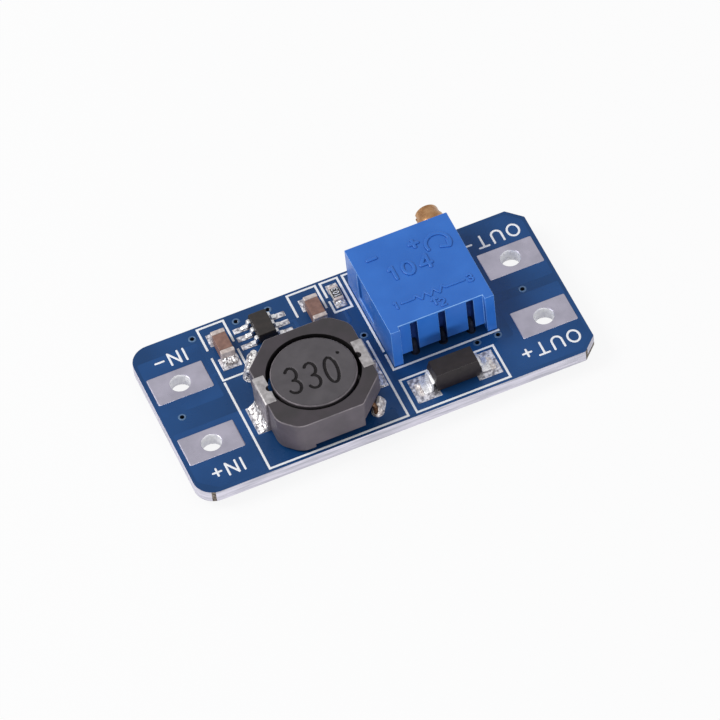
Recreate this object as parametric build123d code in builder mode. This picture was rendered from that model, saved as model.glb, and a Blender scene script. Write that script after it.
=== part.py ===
from build123d import *
import math
import os

# A step-up converter board. X runs from the input end to the output end, Y from the front
# edge to the edge where the adjusting screw looks out, and Z up. The origin is on the
# board's underside, at the centre of its four terminal holes. Millimetres.

os.makedirs("parts", exist_ok=True)

# Board
board_thick = 1.2
input_corner_radius = 1.8
output_corner_cut = 1.3
copper = 0.05
print_thick = 0.03
print_width = 0.2

# Terminals at the four corners
pad_length = 5.0
pad_width = 3.0
terminal_spacing_y = 7.0
terminal_hole_radius = 0.875
plating = 0.05

# Inductor
inductor_length = 9.95
inductor_depth = 9.95
inductor_top = 3.45
shield_bore_radius = 4.03
shield_big_corner = 2.35
shield_small_corner = 1.5
shield_wall_notch = (4.2, 0.35)
shield_small_round = 1.6
shield_big_round = 0.4
shield_edge_radius = 0.12
drum_gap = 0.37
drum_flange = 0.7
drum_post_radius = 1.6
winding_gap = 0.25
winding_turns = 4
clip_thick = 0.2
clip_width = 3.0
clip_tab = 1.05
clip_foot = 2.0
clip_bend = 0.12
clip_notch_radius = 0.35
clip_pocket = 0.15
clip_pad_out = 0.9
wire_radius = 0.2
wire_notch = (3.6, 1.2)
wire_rise = 0.05

# Solder at the two corners where the wires leave: out from the shield's corner and along it
# to the middle, length, width, and how far out the wire comes down
back_left_solder = (1.15, -1.25, 3.1, 1.1, 0.95)
front_right_solder = (0.05, 0.67, 1.9, 0.9, 0.1)
corner_solder_angle = 104
corner_solder_height = 0.7
corner_solder_taper = 22
corner_pad_margin = 0.1

# Trimmer
trimmer_length = 9.35
trimmer_depth = 10.03
trimmer_height = 4.55
trimmer_roof = 0.8
trimmer_back_wall = 0.9
trimmer_front_wall = 1.5
post_width = 0.85
post_step = 0.45
block_lift = 0.65
cavity_wall = 0.9
pin_spacing = 2.54
pin_offset = 0.1
pin_radius = 0.25
pin_below = 0.9
pin_bend = 0.35
pin_hole_radius = 0.4
slot_width = 0.62
slot_depth = 0.7
slot_roof = 0.3
floor_lift = 0.3
floor_thick = 0.6
ceramic_thick = 0.6
track_thick = 0.04
panel_size = (3.1, 3.2)
panel_depth = 0.2
panel_from_back = 2.6
panel_from_top = 0.4

# Adjusting screw and the wheel that its worm turns
screw_from_side = 1.17
screw_height = 2.9
head_radius = 1.05
head_length = 1.0
head_round = 0.12
collar_radius = 1.2
collar_length = 0.9
driver_slot = (0.5, 0.6)
worm_radius = 0.85
worm_depth = 0.27
worm_crest = 0.14
worm_base = 0.3
worm_sink = 0.06
worm_turns = 5
shaft_clearance = 0.05
tip_radius = 0.45
tip_length = 0.7
seal_thick = 0.5
seal_gap = 0.03
wheel_teeth = 30
wheel_radius = 2.94
wheel_thick = 1.1
tooth_depth = 0.28
tooth_gap_tip = 0.42
tooth_gap_root = 0.25
tooth_gap_over = 0.1
tooth_gap_flare = 0.03
mesh_depth = 0.14
pivot_radius = 0.8
pivot_foot = 0.2
wiper_thick = 0.12
wiper_reach = 2.3
wiper_width = 0.5
wiper_gap = 0.05
wiper_foot = 0.2
wiper_root = 0.3
wiper_sink = 0.02
hub_radius = 1.5
track_width = 0.7
track_gap = (2.0, 1.6)

# Small parts
diode_body_length = 4.1
diode_body_width = 2.1
diode_body_height = 1.95
diode_draft = 0.18
diode_lead_width = 1.45
diode_lead_thick = 0.2
diode_lift = 0.1
diode_lead_inside = 0.9
diode_lead_gap = 0.12
diode_lead_foot = 0.75
diode_lead_bend = 0.25
diode_die_side = 1.6
diode_die_thick = 0.25
chip_length = 2.65
chip_width = 1.65
chip_height = 1.05
chip_lift = 0.1
chip_pitch = 0.95
chip_lead_width = 0.4
chip_lead_thick = 0.15
chip_span = 2.9
chip_lead_inside = 0.3
chip_lead_knee = 0.17
chip_lead_heel = 0.25
chip_lead_bend = 0.08
chip_draft = 0.07
chip_die_size = (0.8, 1.2)
chip_die_thick = 0.2
capacitor_length = 2.65
capacitor_width = 1.25
capacitor_height = 1.25
capacitor_end = 0.45
capacitor_edge = 0.1
capacitor_skin = 0.03
resistor_length = 1.6
resistor_width = 0.85
resistor_height = 0.45
resistor_end = 0.3
film_thick = 0.05
film_margin = 0.05

# Pads under the small parts, and how far their middles lie beyond the parts' ends
capacitor_pad = (1.7, 1.35)
capacitor_pad_out = 0.1
resistor_pad = (1.0, 0.95)
resistor_pad_out = 0.05
chip_pad = (1.35, 0.55)
chip_pad_out = 0.22
diode_pad = (2.15, 2.65)
diode_pad_out = 0.7

# Solder: run along the pad and height up the part
capacitor_solder = (0.5, 0.7)
resistor_solder = (0.4, 0.3)
chip_solder_run = 0.35
diode_solder_run = 0.6
clip_solder = (0.75, 0.7)
fillet_dip = 0.15
cone_radius = 0.75
cone_height = 0.55
cone_lip = 0.08

# Vias
via_radius = 0.28
via_bore = 0.15
input_via = (1.75, 0.1)
output_via = (3.35, 0.0)
capacitor_via = (0.7, 1.05)
chip_vias = (1.8, 1.1, 1.95)
trimmer_vias = (0.22, 2.12, 0.65)
middle_via = (0.8, 4.3)

# Printed outlines: how far they stand off the parts, and where they break
input_box_out = 1.12
input_box_gap = (2.55, 3.6)
output_box_out = (1.48, 1.1)
output_box_stop = (2.45, 2.6)
resistor_box_out = 0.78
resistor_box_front = 1.65
resistor_box_break = (0.4, 0.2)
inductor_box_stop = (4.8, 3.6)
trimmer_box_gap = (1.7, 2.2)
diode_box_out = 0.33

# Layout along X, from the input edge to the output edge
edge_to_pad = 0.425
pad_to_box = 0.87
inductor_left_room = 1.4
inductor_right_room = 1.1
box_to_box = 0.8
trimmer_left_room = 0.17
box_to_output_pad = 1.51
inductor_box = inductor_left_room + inductor_length + inductor_right_room
board_length = (
    2 * (edge_to_pad + pad_length)
    + pad_to_box
    + inductor_box
    + box_to_box
    + trimmer_left_room
    + trimmer_length
    + box_to_output_pad
)
board_left = -board_length / 2
pad_x = board_length / 2 - edge_to_pad - pad_length / 2
inductor_box_x = board_left + edge_to_pad + pad_length + pad_to_box
inductor_x = inductor_box_x + inductor_left_room + inductor_length / 2
trimmer_box_x = inductor_box_x + inductor_box + box_to_box
trimmer_x = trimmer_box_x + trimmer_left_room + trimmer_length / 2

# Layout along Y: the input side and the output side each have a row behind another
front_room = 0.35
inductor_front_room = 0.2
row_gap = 0.15
capacitor_box_depth = 6.0
back_room = 0.35
diode_box_depth = 3.72
diode_set_back = 0.2
diode_to_trimmer = 1.3
trimmer_front_room = 0.2
trimmer_back_room = 1.4
input_rows = front_room + inductor_front_room + inductor_depth + row_gap + capacitor_box_depth + back_room
output_rows = (
    front_room + diode_box_depth + diode_to_trimmer + trimmer_front_room + trimmer_depth + trimmer_back_room
)
board_width = max(input_rows, output_rows)
board_front = -board_width / 2
board_back = board_width / 2
inductor_y = board_front + front_room + inductor_front_room + inductor_depth / 2
trimmer_front = board_front + front_room + diode_box_depth + diode_to_trimmer + trimmer_front_room
trimmer_y = trimmer_front + trimmer_depth / 2
capacitor_y = board_back - back_room - capacitor_box_depth / 2
diode_y = board_front + front_room + diode_box_depth / 2 + diode_set_back

# Heights
top = board_thick
seat = top + copper

# Places of the small parts
input_capacitor_in = 1.25
output_capacitor_right = 3.3
resistor_left = 1.25
resistor_back = 1.2
chip_left = 1.35
chip_back = 0.45
diode_in = 4.3
input_capacitor_x = inductor_box_x + input_capacitor_in
output_capacitor_x = inductor_x + output_capacitor_right
resistor_x = trimmer_box_x - resistor_left
resistor_y = capacitor_y + resistor_back
chip_x = inductor_x - chip_left
chip_y = capacitor_y + chip_back
diode_x = trimmer_box_x + diode_in

terminal_places = {
    "input_minus_terminal": (-pad_x, terminal_spacing_y / 2),
    "input_plus_terminal": (-pad_x, -terminal_spacing_y / 2),
    "output_minus_terminal": (pad_x, terminal_spacing_y / 2),
    "output_plus_terminal": (pad_x, -terminal_spacing_y / 2),
}
pin_places = [
    (trimmer_x + pin_offset + k * pin_spacing, trimmer_front + post_step + slot_depth / 2)
    for k in (-1, 0, 1)
]
via_places = [
    (board_left + input_via[0], input_via[1]),
    (-board_left - output_via[0], output_via[1]),
    (inductor_box_x - capacitor_via[0], board_back - capacitor_via[1]),
    (chip_x - chip_vias[0], chip_y + chip_vias[2]),
    (chip_x + chip_vias[1], chip_y + chip_vias[2]),
    (trimmer_x + trimmer_length / 2 - trimmer_vias[0], trimmer_front - trimmer_vias[2]),
    (trimmer_x + trimmer_length / 2 - trimmer_vias[1], trimmer_front - trimmer_vias[2]),
    (trimmer_box_x - middle_via[0], trimmer_front + middle_via[1]),
]


def keep(piece, name):
    """Label a finished piece and write it under its own name."""
    piece.label = name
    export_step(piece, f"parts/{name}.step")
    print(f"{name}: {len(piece.solids())} solids, {piece.volume:.4f} mm3")
    return piece


def block(x0, x1, y0, y1, z0, z1):
    """A plain block between two corners."""
    with BuildPart() as body:
        with BuildSketch(Plane.XY.offset(z0)):
            with Locations(((x0 + x1) / 2, (y0 + y1) / 2)):
                Rectangle(x1 - x0, y1 - y0)
        extrude(amount=z1 - z0)
    return body.part


# Board
with BuildPart() as board:
    with BuildSketch():
        Rectangle(board_length, board_width)
        fillet(vertices().group_by(Axis.X)[0], input_corner_radius)
        chamfer(vertices().group_by(Axis.X)[-1], output_corner_cut)
        with Locations(*terminal_places.values()):
            Circle(terminal_hole_radius + plating, mode=Mode.SUBTRACT)
        with Locations(*pin_places):
            Circle(pin_hole_radius, mode=Mode.SUBTRACT)
        with Locations(*via_places):
            Circle(via_radius, mode=Mode.SUBTRACT)
    extrude(amount=board_thick)
keep(board.part, "board")

# Terminals: a pad on both faces, joined by the plating through the hole
for name, (x, y) in terminal_places.items():
    with BuildPart() as terminal:
        with BuildSketch(Plane.XY.offset(-copper)):
            with Locations((x, y)):
                Rectangle(pad_length, pad_width)
        extrude(amount=copper)
        with BuildSketch(Plane.XY.offset(top)):
            with Locations((x, y)):
                Rectangle(pad_length, pad_width)
        extrude(amount=copper)
        with BuildSketch():
            with Locations((x, y)):
                Circle(terminal_hole_radius + plating)
        extrude(amount=top)
        with BuildSketch(Plane.XY.offset(-copper)):
            with Locations((x, y)):
                Circle(terminal_hole_radius)
        extrude(amount=top + 2 * copper, mode=Mode.SUBTRACT)
    keep(terminal.part, name)

# Vias, flush with both faces of the board
with BuildPart() as vias:
    with BuildSketch():
        with Locations(*via_places):
            Circle(via_radius)
            Circle(via_bore, mode=Mode.SUBTRACT)
    extrude(amount=board_thick)
keep(vias.part, "vias")

# Pads under the small parts
capacitor_pad_y = capacitor_length / 2 + capacitor_pad_out
resistor_pad_y = resistor_length / 2 + resistor_pad_out
chip_pad_x = chip_span / 2 + chip_pad_out
diode_pad_x = diode_body_length / 2 + diode_pad_out
drum_radius = shield_bore_radius - drum_gap
shield_length = inductor_length - 2 * clip_thick
shield_base = seat + clip_thick
corner_reach = (shield_length + inductor_depth - 2 * shield_big_corner) / 2 / math.sqrt(2)
wire_corners = {135: back_left_solder, -45: front_right_solder}


def corner_plane(angle, height):
    """A level plane at the inductor's middle, its X axis pointing to a corner."""
    turn = math.radians(angle)
    return Plane(
        origin=(inductor_x, inductor_y, height),
        x_dir=(math.cos(turn), math.sin(turn), 0),
        z_dir=(0, 0, 1),
    )


with BuildPart() as component_pads:
    with BuildSketch(Plane.XY.offset(top)):
        for x in (input_capacitor_x, output_capacitor_x):
            with Locations((x, capacitor_y + capacitor_pad_y), (x, capacitor_y - capacitor_pad_y)):
                Rectangle(*capacitor_pad)
        with Locations((resistor_x, resistor_y + resistor_pad_y), (resistor_x, resistor_y - resistor_pad_y)):
            Rectangle(*resistor_pad)
        with Locations((chip_x, chip_y)):
            with GridLocations(2 * chip_pad_x, chip_pitch, 2, 3):
                Rectangle(*chip_pad)
        with Locations((diode_x - diode_pad_x, diode_y), (diode_x + diode_pad_x, diode_y)):
            Rectangle(*diode_pad)
        foot_pad = clip_pad_out + clip_foot
        foot_pad_x = inductor_length / 2 + clip_pad_out - foot_pad / 2
        with Locations((inductor_x - foot_pad_x, inductor_y), (inductor_x + foot_pad_x, inductor_y)):
            Rectangle(foot_pad, clip_width)
    extrude(amount=copper)
    for angle, (out, along, length, width, _) in wire_corners.items():
        with BuildSketch(corner_plane(angle, top)):
            with Locations((corner_reach + out, along)):
                margin = 2 * corner_pad_margin
                SlotOverall(length + margin, width + margin, rotation=corner_solder_angle)
        extrude(amount=copper)
keep(component_pads.part, "component_pads")


# Printed outlines, each a row of corners joined by straight strokes
def print_lines():
    """The printed outlines round the parts, as lists of corners."""
    left = inductor_box_x
    right = inductor_box_x + inductor_box
    front = board_front + front_room
    back = board_back - back_room
    row = back - capacitor_box_depth
    box_right = input_capacitor_x + input_box_out
    gap_low = row + input_box_gap[0]
    gap_high = row + input_box_gap[1]
    out_left = output_capacitor_x - output_box_out[0]
    out_right = output_capacitor_x + output_box_out[1]
    res_left = resistor_x - resistor_box_out
    res_right = resistor_x + resistor_box_out
    res_front = resistor_y - resistor_box_front
    res_low = resistor_y - resistor_box_break[0]
    res_high = resistor_y + resistor_box_break[1]
    trim_left = trimmer_box_x
    trim_front = trimmer_front - trimmer_front_room
    trim_low = trim_front + trimmer_box_gap[0]
    trim_high = trim_front + trimmer_box_gap[1]
    trim_right = trimmer_x + trimmer_length / 2
    diode_back = front + diode_box_depth
    diode_right = diode_x + diode_pad_x + diode_pad[0] / 2 + diode_box_out
    return [
        [(left, inductor_y + inductor_box_stop[0]), (left, front), (right, front),
         (right, inductor_y + inductor_box_stop[1])],
        [(left, gap_low), (left, row), (box_right, row), (box_right, gap_low)],
        [(left, gap_high), (left, back), (box_right, back), (box_right, gap_high)],
        [(out_left, back - output_box_stop[0]), (out_left, back), (out_right, back),
         (out_right, back - output_box_stop[1])],
        [(res_left, res_high), (res_left, back), (res_right, back), (res_right, res_front),
         (res_left, res_front), (res_left, res_low)],
        [(trim_left, trim_high), (trim_left, back), (trim_right, back)],
        [(trim_left, trim_low), (trim_left, trim_front), (trim_right, trim_front)],
        [(trim_left, front), (diode_right, front), (diode_right, diode_back), (trim_left, diode_back),
         (trim_left, front)],
    ]


with BuildPart() as printed_outlines:
    with BuildSketch(Plane.XY.offset(top)):
        for corners in print_lines():
            for (ax, ay), (bx, by) in zip(corners, corners[1:]):
                with Locations(((ax + bx) / 2, (ay + by) / 2)):
                    Rectangle(abs(bx - ax) + print_width, abs(by - ay) + print_width)
    extrude(amount=print_thick)
    add(component_pads.part, mode=Mode.SUBTRACT)
keep(printed_outlines.part, "printed_outlines")


# Inductor shield: an eight-sided ferrite ring, with its larger corners where the wires leave
def shield_outline():
    """Corners of the shield's plan, going round from the front left."""
    a = shield_length / 2
    b = inductor_depth / 2
    big = shield_big_corner
    small = shield_small_corner
    return [
        (-a + small, -b), (a - big, -b), (a, -b + big), (a, b - small),
        (a - small, b), (-a + big, b), (-a, b - big), (-a, -b + small),
    ]


def at_big_corner(vertex):
    """True for the ends of the sloping sides where the wires leave, seen from the middle."""
    return vertex.X * vertex.Y < 0


def at_small_corner(vertex):
    """True for the ends of the two other sloping sides."""
    return vertex.X * vertex.Y > 0


with BuildPart() as inductor_shield:
    with BuildSketch(Plane((inductor_x, inductor_y, shield_base))):
        Polygon(*shield_outline(), align=None)
        fillet(vertices().filter_by(at_big_corner), shield_big_round)
        fillet(vertices().filter_by(at_small_corner), shield_small_round)
    extrude(amount=top + inductor_top - shield_base)
    fillet(edges().group_by(Axis.Z)[-1], shield_edge_radius)
    with BuildSketch(Plane((inductor_x, inductor_y, shield_base))):
        Circle(shield_bore_radius)
    extrude(amount=inductor_top + clip_thick, mode=Mode.SUBTRACT)
    with BuildSketch(Plane((inductor_x, inductor_y, top + inductor_top - clip_pocket))):
        with Locations((-shield_length / 2, 0), (shield_length / 2, 0)):
            Rectangle(2 * (clip_tab - clip_thick), clip_width)
    extrude(amount=clip_thick + clip_pocket, mode=Mode.SUBTRACT)
    with BuildSketch(Plane((inductor_x, inductor_y, shield_base))):
        notch_length, notch_height = shield_wall_notch
        Rectangle(notch_length, inductor_depth + clip_thick)
    extrude(amount=notch_height, mode=Mode.SUBTRACT)
    for angle in wire_corners:
        with BuildSketch(corner_plane(angle, shield_base)):
            with Locations((corner_reach, 0)):
                Rectangle(corner_reach, wire_notch[0])
        extrude(amount=wire_notch[1], mode=Mode.SUBTRACT)
keep(inductor_shield.part, "inductor_shield")

# Inductor core: a ferrite drum whose upper flange is the round face inside the shield
with BuildPart() as inductor_core:
    with BuildSketch(Plane((inductor_x, inductor_y, shield_base))):
        Circle(drum_radius)
    extrude(amount=drum_flange)
    with BuildSketch(Plane((inductor_x, inductor_y, shield_base))):
        Circle(drum_post_radius)
    extrude(amount=top + inductor_top - shield_base)
    with BuildSketch(Plane((inductor_x, inductor_y, top + inductor_top - drum_flange))):
        Circle(drum_radius)
    extrude(amount=drum_flange)
    fillet(edges().filter_by(GeomType.CIRCLE).group_by(Axis.Z)[-1], shield_edge_radius)
keep(inductor_core.part, "inductor_core")

# Inductor winding: one coil, with the rounded backs of its turns on the outside
winding_low = shield_base + drum_flange
winding_high = top + inductor_top - drum_flange
winding_radius = drum_radius - winding_gap
turn_height = (winding_high - winding_low) / winding_turns
with BuildPart() as inductor_winding:
    with BuildSketch(Plane((inductor_x, inductor_y, winding_low), x_dir=(1, 0, 0), z_dir=(0, -1, 0))):
        inner = winding_radius - turn_height / 2
        with Locations(((drum_post_radius + inner) / 2, (winding_high - winding_low) / 2)):
            Rectangle(inner - drum_post_radius, winding_high - winding_low)
        for turn in range(winding_turns):
            with Locations((inner, (turn + 0.5) * turn_height)):
                Circle(turn_height / 2)
    revolve(axis=Axis((inductor_x, inductor_y, 0), (0, 0, 1)))
keep(inductor_winding.part, "inductor_winding")


# Inductor clips: sheet strips folded over the shield, down its sides and under the core
def make_clip(side):
    """The clip on one side of the inductor, -1 for the input side and 1 for the output side."""
    wall = shield_length / 2 + clip_thick / 2
    tab_height = top + inductor_top - clip_pocket + clip_thick / 2
    foot_height = seat + clip_thick / 2
    tab_end = inductor_length / 2 - clip_tab
    foot_end = shield_length / 2 - clip_foot
    with BuildPart() as clip:
        with BuildSketch(Plane.XZ.offset(-inductor_y)):
            with BuildLine():
                FilletPolyline(
                    (inductor_x + side * tab_end, tab_height),
                    (inductor_x + side * wall, tab_height),
                    (inductor_x + side * wall, foot_height),
                    (inductor_x + side * foot_end, foot_height),
                    radius=clip_bend,
                )
            trace(line_width=clip_thick)
        extrude(amount=clip_width / 2, both=True)
        with BuildSketch(Plane((inductor_x + side * tab_end, inductor_y, tab_height - clip_thick))):
            Circle(clip_notch_radius)
        extrude(amount=2 * clip_thick, mode=Mode.SUBTRACT)
    return clip.part


inductor_left_clip = keep(make_clip(-1), "inductor_left_clip")
inductor_right_clip = keep(make_clip(1), "inductor_right_clip")

# Inductor wire ends: out over the lower flange, through the shield's corner and down
wire_high = winding_low + wire_radius + wire_rise
with BuildPart() as inductor_wire_ends:
    for angle, (*_, wire_out) in wire_corners.items():
        turn = math.radians(angle)
        out = Plane(
            origin=(inductor_x, inductor_y, 0),
            x_dir=(math.cos(turn), math.sin(turn), 0),
            z_dir=(math.sin(turn), -math.cos(turn), 0),
        )
        with BuildLine(out) as run:
            FilletPolyline(
                (winding_radius, wire_high),
                (corner_reach + wire_out, wire_high),
                (corner_reach + wire_out, seat),
                radius=2 * wire_radius,
            )
        with BuildSketch(Plane(origin=run.line @ 0, z_dir=run.line % 0)):
            Circle(wire_radius)
        sweep(path=run.line)
keep(inductor_wire_ends.part, "inductor_wire_ends")


# Capacitors: a ceramic block with a metal cap on each end
def make_capacitor(x, y):
    """A ceramic block and its two end caps."""
    low = seat
    high = seat + capacitor_height
    half = capacitor_length / 2
    side = capacitor_width / 2
    with BuildPart() as ends:
        for sign in (-1, 1):
            with BuildSketch(Plane.XY.offset(low)):
                with Locations((x, y + sign * (half - capacitor_end / 2))):
                    RectangleRounded(capacitor_width, capacitor_end, capacitor_edge)
            extrude(amount=high - low)
    with BuildPart() as ceramic:
        with BuildSketch(Plane.XY.offset(low + capacitor_skin)):
            with Locations((x, y)):
                Rectangle(2 * (side - capacitor_skin), capacitor_length - 2 * capacitor_end)
        extrude(amount=high - low - 2 * capacitor_skin)
    return ceramic.part, ends.part


for name, x in {"input_capacitor": input_capacitor_x, "output_capacitor": output_capacitor_x}.items():
    ceramic, ends = make_capacitor(x, capacitor_y)
    keep(ceramic, f"{name}_body")
    keep(ends, f"{name}_ends")

# Resistor: a ceramic chip, a film on top and a metal cap on each end
with BuildPart() as resistor_body:
    add(block(
        resistor_x - resistor_width / 2, resistor_x + resistor_width / 2,
        resistor_y - resistor_length / 2 + resistor_end, resistor_y + resistor_length / 2 - resistor_end,
        seat, seat + resistor_height - film_thick,
    ))
keep(resistor_body.part, "resistor_body")
with BuildPart() as resistor_film:
    add(block(
        resistor_x - resistor_width / 2 + film_margin, resistor_x + resistor_width / 2 - film_margin,
        resistor_y - resistor_length / 2 + resistor_end, resistor_y + resistor_length / 2 - resistor_end,
        seat + resistor_height - film_thick, seat + resistor_height,
    ))
keep(resistor_film.part, "resistor_film")
with BuildPart() as resistor_ends:
    with BuildSketch(Plane.XY.offset(seat)):
        end_y = resistor_length / 2 - resistor_end / 2
        with Locations((resistor_x, resistor_y - end_y), (resistor_x, resistor_y + end_y)):
            Rectangle(resistor_width, resistor_end)
    extrude(amount=resistor_height)
keep(resistor_ends.part, "resistor_ends")

# Control chip: six bent leads, a die and the moulded body around their inner ends
chip_mid = seat + chip_lift + chip_height / 2
with BuildPart() as chip_leads:
    for side in (-1, 1):
        for row in (-1, 0, 1):
            with BuildSketch(Plane.XZ.offset(-(chip_y + row * chip_pitch))):
                with BuildLine():
                    FilletPolyline(
                        (chip_x + side * (chip_width / 2 - chip_lead_inside), chip_mid),
                        (chip_x + side * (chip_width / 2 + chip_lead_knee), chip_mid),
                        (chip_x + side * (chip_width / 2 + chip_lead_heel), seat + chip_lead_thick / 2),
                        (chip_x + side * chip_span / 2, seat + chip_lead_thick / 2),
                        radius=chip_lead_bend,
                    )
                trace(line_width=chip_lead_thick)
            extrude(amount=chip_lead_width / 2, both=True)
keep(chip_leads.part, "chip_leads")
die_length, die_width = chip_die_size
with BuildPart() as chip_die:
    add(block(
        chip_x - die_length / 2, chip_x + die_length / 2, chip_y - die_width / 2, chip_y + die_width / 2,
        chip_mid, chip_mid + chip_die_thick,
    ))
keep(chip_die.part, "chip_die")
chip_taper = math.degrees(math.atan(chip_draft / (chip_height / 2)))
with BuildPart() as chip_body:
    with BuildSketch(Plane.XY.offset(chip_mid)):
        with Locations((chip_x, chip_y)):
            Rectangle(chip_width, chip_length)
    extrude(amount=chip_height / 2, taper=chip_taper)
    with BuildSketch(Plane.XY.offset(chip_mid)):
        with Locations((chip_x, chip_y)):
            Rectangle(chip_width, chip_length)
    extrude(amount=-chip_height / 2, taper=chip_taper)
    add(chip_leads.part, mode=Mode.SUBTRACT)
    add(chip_die.part, mode=Mode.SUBTRACT)
keep(chip_body.part, "chip_body")


# Output diode: two bent strips and a moulded body that holds a die
diode_lead_out = diode_body_length / 2 + diode_lead_thick / 2 + diode_lead_gap
diode_lead_end = diode_lead_out + diode_lead_foot
diode_mid = seat + diode_lift + diode_body_height / 2


def diode_lead(side):
    """One strip, out of the body's side, down and along its pad."""
    low = seat + diode_lead_thick / 2
    with BuildPart() as lead:
        with BuildSketch(Plane.XZ.offset(-diode_y)):
            with BuildLine():
                FilletPolyline(
                    (diode_x + side * (diode_body_length / 2 - diode_lead_inside), diode_mid),
                    (diode_x + side * diode_lead_out, diode_mid),
                    (diode_x + side * diode_lead_out, low),
                    (diode_x + side * diode_lead_end, low),
                    radius=diode_lead_bend,
                )
            trace(line_width=diode_lead_thick)
        extrude(amount=diode_lead_width / 2, both=True)
    return lead.part


diode_left_lead = keep(diode_lead(-1), "diode_left_lead")
diode_right_lead = keep(diode_lead(1), "diode_right_lead")
with BuildPart() as diode_die:
    add(block(
        diode_x - diode_die_side / 2, diode_x + diode_die_side / 2,
        diode_y - diode_die_side / 2, diode_y + diode_die_side / 2,
        diode_mid - diode_die_thick / 2, diode_mid + diode_die_thick / 2,
    ))
keep(diode_die.part, "diode_die")
diode_taper = math.degrees(math.atan(diode_draft / (diode_body_height / 2)))
with BuildPart() as diode_body:
    with BuildSketch(Plane.XY.offset(diode_mid)):
        with Locations((diode_x, diode_y)):
            Rectangle(diode_body_length, diode_body_width)
    extrude(amount=diode_body_height / 2, taper=diode_taper)
    with BuildSketch(Plane.XY.offset(diode_mid)):
        with Locations((diode_x, diode_y)):
            Rectangle(diode_body_length, diode_body_width)
    extrude(amount=-diode_body_height / 2, taper=diode_taper)
    add(diode_left_lead, mode=Mode.SUBTRACT)
    add(diode_right_lead, mode=Mode.SUBTRACT)
    add(diode_die.part, mode=Mode.SUBTRACT)
keep(diode_body.part, "diode_body")

# Trimmer: places that its pieces share
half_length = trimmer_length / 2
trimmer_back = trimmer_front + trimmer_depth
screw_x = trimmer_x + half_length - screw_from_side
screw_z = top + screw_height
wheel_x = screw_x - (worm_radius + wheel_radius - mesh_depth)
cavity_front = trimmer_front + trimmer_front_wall
cavity_back = trimmer_back - trimmer_back_wall
wheel_y = (cavity_front + cavity_back) / 2
cavity_left = trimmer_x - half_length + cavity_wall
cavity_roof = top + trimmer_height - trimmer_roof
floor_low = top + floor_lift
floor_high = floor_low + floor_thick
ceramic_high = floor_high + ceramic_thick
channel_radius = worm_radius + 2 * shaft_clearance
shaft_bore = worm_radius + shaft_clearance
cavity_right = screw_x - channel_radius / 2
pin_height = floor_high + ceramic_thick / 2
wheel_low = screw_z - wheel_thick / 2
wheel_high = screw_z + wheel_thick / 2
along_screw = Plane(origin=(screw_x, 0, screw_z), x_dir=(1, 0, 0), z_dir=(0, 1, 0))


def at_y(y):
    """The plane across the screw at one place along Y."""
    return along_screw.offset(y)


# Trimmer housing: a moulded box, open below, with four corner posts and grooves for the pins
with BuildPart() as trimmer_housing:
    with BuildSketch(Plane((trimmer_x, trimmer_y, top))):
        Rectangle(trimmer_length, trimmer_depth)
    extrude(amount=trimmer_height)
    with BuildSketch(Plane.XY.offset(top)):
        with Locations(((cavity_left + cavity_right) / 2, wheel_y)):
            Rectangle(cavity_right - cavity_left, cavity_back - cavity_front)
    extrude(amount=cavity_roof - top, mode=Mode.SUBTRACT)
    with BuildSketch(Plane((trimmer_x, trimmer_front, top))):
        with Locations((0, post_step / 2)):
            Rectangle(trimmer_length - 2 * post_width, post_step)
    extrude(amount=trimmer_height, mode=Mode.SUBTRACT)
    with BuildSketch(Plane((trimmer_x, trimmer_front, top))):
        with Locations((0, trimmer_front_wall / 2)):
            Rectangle(trimmer_length - 2 * post_width, trimmer_front_wall)
    extrude(amount=block_lift, mode=Mode.SUBTRACT)
    with BuildSketch(Plane((trimmer_x + pin_offset, trimmer_front + post_step, top))):
        with GridLocations(pin_spacing, 1, 3, 1):
            Rectangle(slot_width, 2 * slot_depth)
    extrude(amount=trimmer_height - slot_roof, mode=Mode.SUBTRACT)
    with BuildSketch(Plane.YZ.offset(trimmer_x - half_length)):
        panel_y = trimmer_back - panel_from_back - panel_size[0] / 2
        panel_z = top + trimmer_height - panel_from_top - panel_size[1] / 2
        with Locations((panel_y, panel_z)):
            Rectangle(*panel_size)
    extrude(amount=panel_depth, mode=Mode.SUBTRACT)
    with BuildSketch(at_y(trimmer_front + trimmer_front_wall)):
        Circle(channel_radius)
    extrude(amount=trimmer_depth - trimmer_front_wall - trimmer_back_wall, mode=Mode.SUBTRACT)
    with BuildSketch(at_y(cavity_front - tip_length - shaft_clearance)):
        Circle(tip_radius + shaft_clearance)
    extrude(amount=tip_length + 2 * shaft_clearance, mode=Mode.SUBTRACT)
    with BuildSketch(at_y(cavity_back)):
        Circle(shaft_bore)
    extrude(amount=trimmer_back_wall, mode=Mode.SUBTRACT)
    with BuildSketch(Plane((wheel_x, wheel_y, cavity_roof))):
        Circle(pivot_radius)
    extrude(amount=-(cavity_roof - wheel_low + pivot_foot))
    for x, y in pin_places:
        with BuildSketch(Plane.XZ.offset(-cavity_front)):
            with Locations((x, pin_height)):
                Circle(pin_radius)
        extrude(amount=trimmer_front_wall, mode=Mode.SUBTRACT)
keep(trimmer_housing.part, "trimmer_housing")

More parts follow.
